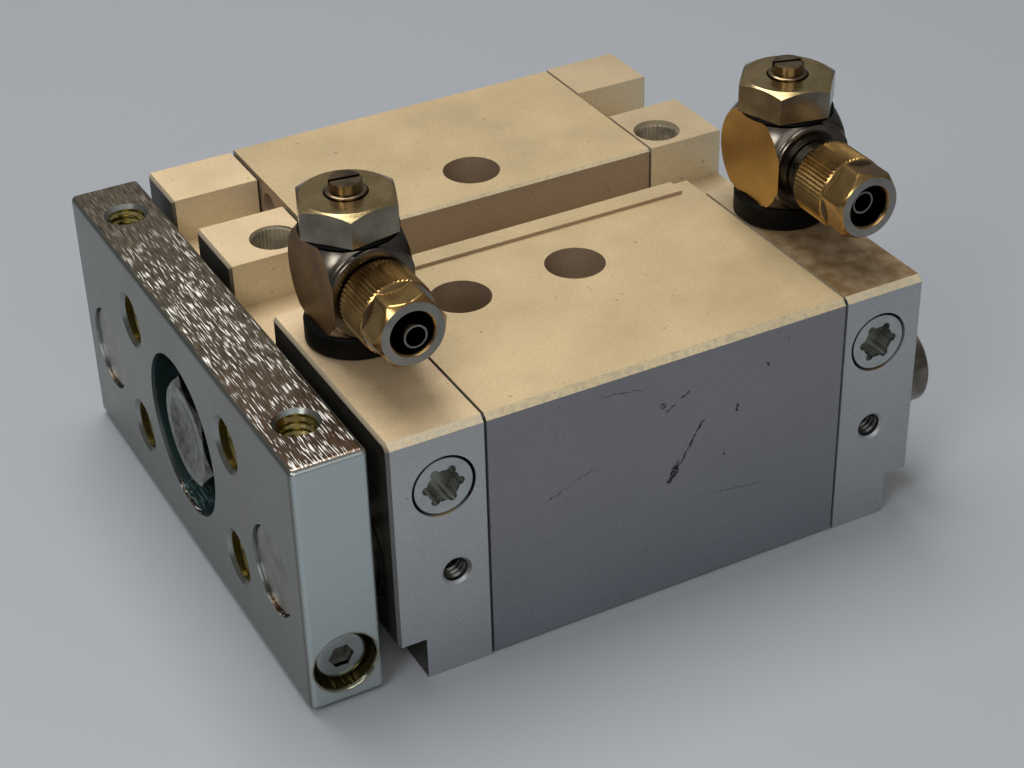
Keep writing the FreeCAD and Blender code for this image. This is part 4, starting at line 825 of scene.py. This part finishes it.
def thread(wall_r, crest_r, pitch, length):
    """A helical ridge from wall radius to crest radius, along Z from the origin."""
    bm = bmesh.new()
    buried = wall_r + (0.04 if crest_r < wall_r else -0.04)
    # radius in millimetres, height as a share of the pitch
    corners = [(buried, -0.46), (crest_r, -0.08), (crest_r, 0.08), (buried, 0.46)]
    verts = [bm.verts.new((r, 0, z * pitch)) for r, z in corners]
    edges = [bm.edges.new((verts[i - 1], verts[i])) for i in range(4)]
    turns = length / pitch - 1.0
    bmesh.ops.translate(bm, verts=verts, vec=(0, 0, pitch / 2))
    bmesh.ops.spin(bm, geom=verts + edges, cent=(0, 0, 0), axis=(0, 0, 1),
                   dvec=(0, 0, pitch / THREAD_STEPS), angle=math.tau * turns,
                   steps=round(THREAD_STEPS * turns))
    close(bm)
    return bm


def merged(parts):
    """Several small meshes, each with its turn and its place in millimetres, in one."""
    whole = bmesh.new()
    for bm, turn, place in parts:
        bmesh.ops.rotate(bm, verts=bm.verts, cent=(0, 0, 0), matrix=turn)
        bmesh.ops.translate(bm, verts=bm.verts, vec=place)
        mesh = bpy.data.meshes.new("part")
        bm.to_mesh(mesh)
        bm.free()
        whole.from_mesh(mesh)
        bpy.data.meshes.remove(mesh)
    return whole


# yellow zinc glints gold on the plate's threads; the aluminium threads in the side holes are
# painted dark as the shade in the holes
yellow_zinc = worked_metal("yellow_passivated_zinc", "#b3a46e", "#6c6136", 0.18)
painted_shade_aluminium = worked_metal("painted_shade_threaded_aluminium", "#5b5a58", "#3c3b3a", 0.3)
FROM_FRONT = Matrix.Rotation(math.radians(-90), 3, "Y")
DOWN = Matrix.Rotation(math.radians(180), 3, "X")


def plate_threads():
    _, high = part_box("yoke_plate")
    centre = Vector(mounts["yoke_bolts"]["pos_m"]) / MM
    parts = []
    for y in (-FACE_HOLES[0], FACE_HOLES[0]):
        for z in (-FACE_HOLES[1], FACE_HOLES[1]):
            parts.append((thread(3.4, 3.0, 1.25, 8.8), FROM_FRONT,
                          (high.x / MM - 0.6, centre.y + y, centre.z + z)))
    piece("plate_face_threads", merged(parts), yellow_zinc, "yoke", sharp=25)
    top = Vector(mounts["yoke_top_bolts"]["pos_m"]) / MM
    parts = [(thread(2.5, 2.12, 1.0, 8.0), DOWN, (top.x, top.y + y, high.z / MM - 0.55))
             for y in (-TOP_HOLE_Y, TOP_HOLE_Y)]
    piece("plate_top_threads", merged(parts), yellow_zinc, "yoke", sharp=25)


def side_threads():
    parts = []
    for name, mount in mounts.items():
        if not name.endswith("side_hole"):
            continue
        outwards = mount["axis"][1]
        place = Vector(mount["pos_m"]) / MM
        place.y += outwards * 1.45
        turn = Matrix.Rotation(math.radians(90 * outwards), 3, "X")
        parts.append((thread(1.65, 1.38, 0.7, 3.2), turn, place))
    piece("side_hole_threads", merged(parts), painted_shade_aluminium, "housing",
          sharp=25)


def stub_threads():
    for end in ("front", "rear"):
        at = fitting_axis(end) / MM + Vector((0, SHOULDER_END + 0.2, OUTLET_RISE))
        length = STUB_END - SHOULDER_END - 0.4
        parts = [(thread(STUB_ROOT_R, 3.95, 0.75, length), TOWARDS_Y, at)]
        piece(end + "_stub_thread", merged(parts), bright_nickel, end + "_swivel",
              sharp=25)


plate_threads()
side_threads()
stub_threads()

# %% [markdown]
# The union nut is knurled where fingers turn it and a hexagon where a spanner does. Both are
# rings of the same stack: the knurl's radius jumps between crest and root from one vertex to
# the next, and the hexagon's follows its flats. A cone takes the corners off at the mouth.

# %% Knurled union nuts
KNURL_TEETH = 54
KNURL_R = 5.1
KNURL_ROOT_R = 4.86
NUT_FLATS = 8.7
NUT_LENGTH = 10.3
NUT_BACK_R = 4.02
NUT_MOUTH_R = 2.75
NUT_NECK = 6.3          # where the knurl ends and the hexagon starts


def hexagon(flats, limit):
    """The radius of a hexagon at each angle, with its corners cut at a limit."""
    def radius(angle):
        from_flat = (angle % (math.pi / 3)) - math.pi / 6
        return min(flats / 2 / math.cos(from_flat), limit)
    return radius


def knurl(shrink):
    """The radius of a straight knurl, where every second vertex is in a root."""
    def radius(angle):
        tooth = round(angle / math.tau * 2 * KNURL_TEETH) % 2
        return (KNURL_ROOT_R if tooth else KNURL_R) - shrink
    return radius


def union_nut(end, turn_degrees):
    cone = [(NUT_LENGTH - d, hexagon(NUT_FLATS, 4.2 + d * 0.75)) for d in
            (1.0, 0.85, 0.7, 0.5, 0.35, 0.2, 0.1, 0.0)]
    rings = [(0.0, NUT_BACK_R), (0.0, 4.6), (0.12, 4.8), (0.35, knurl(0.1)),
             (0.5, knurl(0.0)), (6.0, knurl(0.0)), (6.12, 4.93), (NUT_NECK, 4.80),
             (NUT_NECK, 4.60), (6.32, 4.36), (6.32, hexagon(NUT_FLATS, 4.97))]
    rings += cone
    rings += [(NUT_LENGTH, 3.1), (NUT_LENGTH - 0.1, 2.95), (NUT_LENGTH - 0.4, NUT_MOUTH_R),
              (7.2, NUT_MOUTH_R), (6.4, NUT_BACK_R), (0.0, NUT_BACK_R)]
    bm = ring_stack(rings, 2 * KNURL_TEETH)
    close(bm)
    low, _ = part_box(end + "_union_nut")
    place = fitting_axis(end) + Vector((0, 0, OUTLET_RISE * MM))
    place.y = low.y
    roll = Matrix.Rotation(math.radians(turn_degrees), 3, "Y")
    nut = piece(end + "_knurled_nut", bm, nut_brass, end + "_nut",
                turn=roll @ TOWARDS_Y, place=place, sharp=24.0)
    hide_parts(end + "_union_nut")


union_nut("front", 5.0)
union_nut("rear", 47.0)

# %% [markdown]
# A thin flange of the needle fills the recess in the bolt's top. The tapped holes in the two
# lugs have fine flutes, which catch the light as upright lines. A black washer shows under
# each hexagon, and the clamp screws get rounded edges and a rim round their bores, which is
# painted bright as a highlight.

# %% Small turned pieces
LUG_HOLE_X = 30.45   # from the middle of the two lug holes
FLUTES = 36
WASHER_R = 6.28


def needle_flange(end):
    low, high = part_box(end + "_needle")
    rings = [(-2.0, 1.8), (-2.0, 2.45), (-1.85, 2.6), (-1.62, 2.6), (-1.5, 2.45), (-1.45, 2.12),
             (-1.45, 1.8), (-2.0, 1.8)]
    bm = ring_stack(rings, 72)
    close(bm)
    place = Vector(((low.x + high.x) / 2, (low.y + high.y) / 2, high.z))
    piece(end + "_needle_flange", bm, needle_steel, end + "_needle_screw",
          place=place)


def flutes(angle):
    """The radius of the fluted bore, where every second vertex is on a crest."""
    return 3.36 if round(angle / math.tau * 2 * FLUTES) % 2 else 3.18


def lug_flutes():
    centre = Vector(mounts["lug_bolts"]["pos_m"]) / MM
    parts = []
    for x in (-LUG_HOLE_X, LUG_HOLE_X):
        bm = ring_stack([(-0.3, 3.395), (-9.6, 3.395), (-9.6, flutes), (-0.5, flutes),
                         (-0.3, 3.36), (-0.3, 3.395)], 2 * FLUTES)
        parts.append((bm, Matrix.Identity(3), (centre.x + x, centre.y, centre.z)))
    bm = merged(parts)
    close(bm)
    piece("lug_flutes", bm, fluted_aluminium, "housing", sharp=20)


def bolt_washer(end):
    """The black washer that bulges out between the hexagon and the swivelling body."""
    rings = [(15.56, 4.9), (15.56, 6.1), (15.64, WASHER_R), (15.8, WASHER_R + 0.08),
             (15.96, WASHER_R), (16.04, 6.1), (16.04, 4.9), (15.56, 4.9)]
    bm = ring_stack(rings, 96)
    close(bm)
    piece(end + "_bolt_washer", bm, black_polyamide, "housing",
          place=fitting_axis(end))


def clamp_screw_faces():
    """Rounded head edges for the two clamp screws in the plate's ends, and rims painted bright
    as a highlight.
    """
    low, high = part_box("clamp_screws")
    plate_low, plate_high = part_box("yoke_plate")
    at = (low + high) / 2 / MM
    heads, rims = [], []
    for side in (1, -1):
        turn = Matrix.Rotation(math.radians(-90 * side), 3, "X")
        head = ring_stack([(-0.5, 3.52), (-0.18, 3.52), (0.0, 3.42), (0.12, 3.2), (0.17, 2.95),
                           (0.17, 2.2), (0.17, hexagon(3.0, 9)), (-0.5, hexagon(3.0, 9)),
                           (-0.5, 3.52)], 72)
        close(head)
        face_y = (high.y if side == 1 else low.y) / MM
        heads.append((head, turn, (at.x, face_y, at.z)))
        rim = ring_stack([(-0.6, 4.34), (-0.45, 4.18), (-0.1, 4.22), (0.02, 4.34),
                          (0.02, 4.5), (-0.1, 4.55), (-0.6, 4.34)], 96)
        close(rim)
        edge_y = (plate_high.y if side == 1 else plate_low.y) / MM
        rims.append((rim, turn, (at.x, edge_y, at.z)))
    piece("clamp_screw_heads", merged(heads), screw_face, "yoke")
    piece("clamp_bore_rims", merged(rims), rim_highlight_zinc, "yoke")


# screw faces are the brightest zinc, and the rims are painted as bright as a highlight; the
# fluted bores are cut aluminium, which is less metallic here so that their flutes don't turn
# black
screw_face = worked_metal("bright_screw_face", "#a3a8a7", "#8b908e", 0.2, 0.3, 1.0, 6.0)
rim_highlight_zinc = worked_metal("painted_highlight_zinc_rim", "#a5a591", "#84836e", 0.16, 0.3, 1.0, 1.0)
fluted_aluminium = worked_metal("fluted_aluminium", "#bdb198", "#8d8370", 0.35, 0.3, 0.35)
for end in ("front", "rear"):
    needle_flange(end)
    bolt_washer(end)
lug_flutes()
clamp_screw_faces()
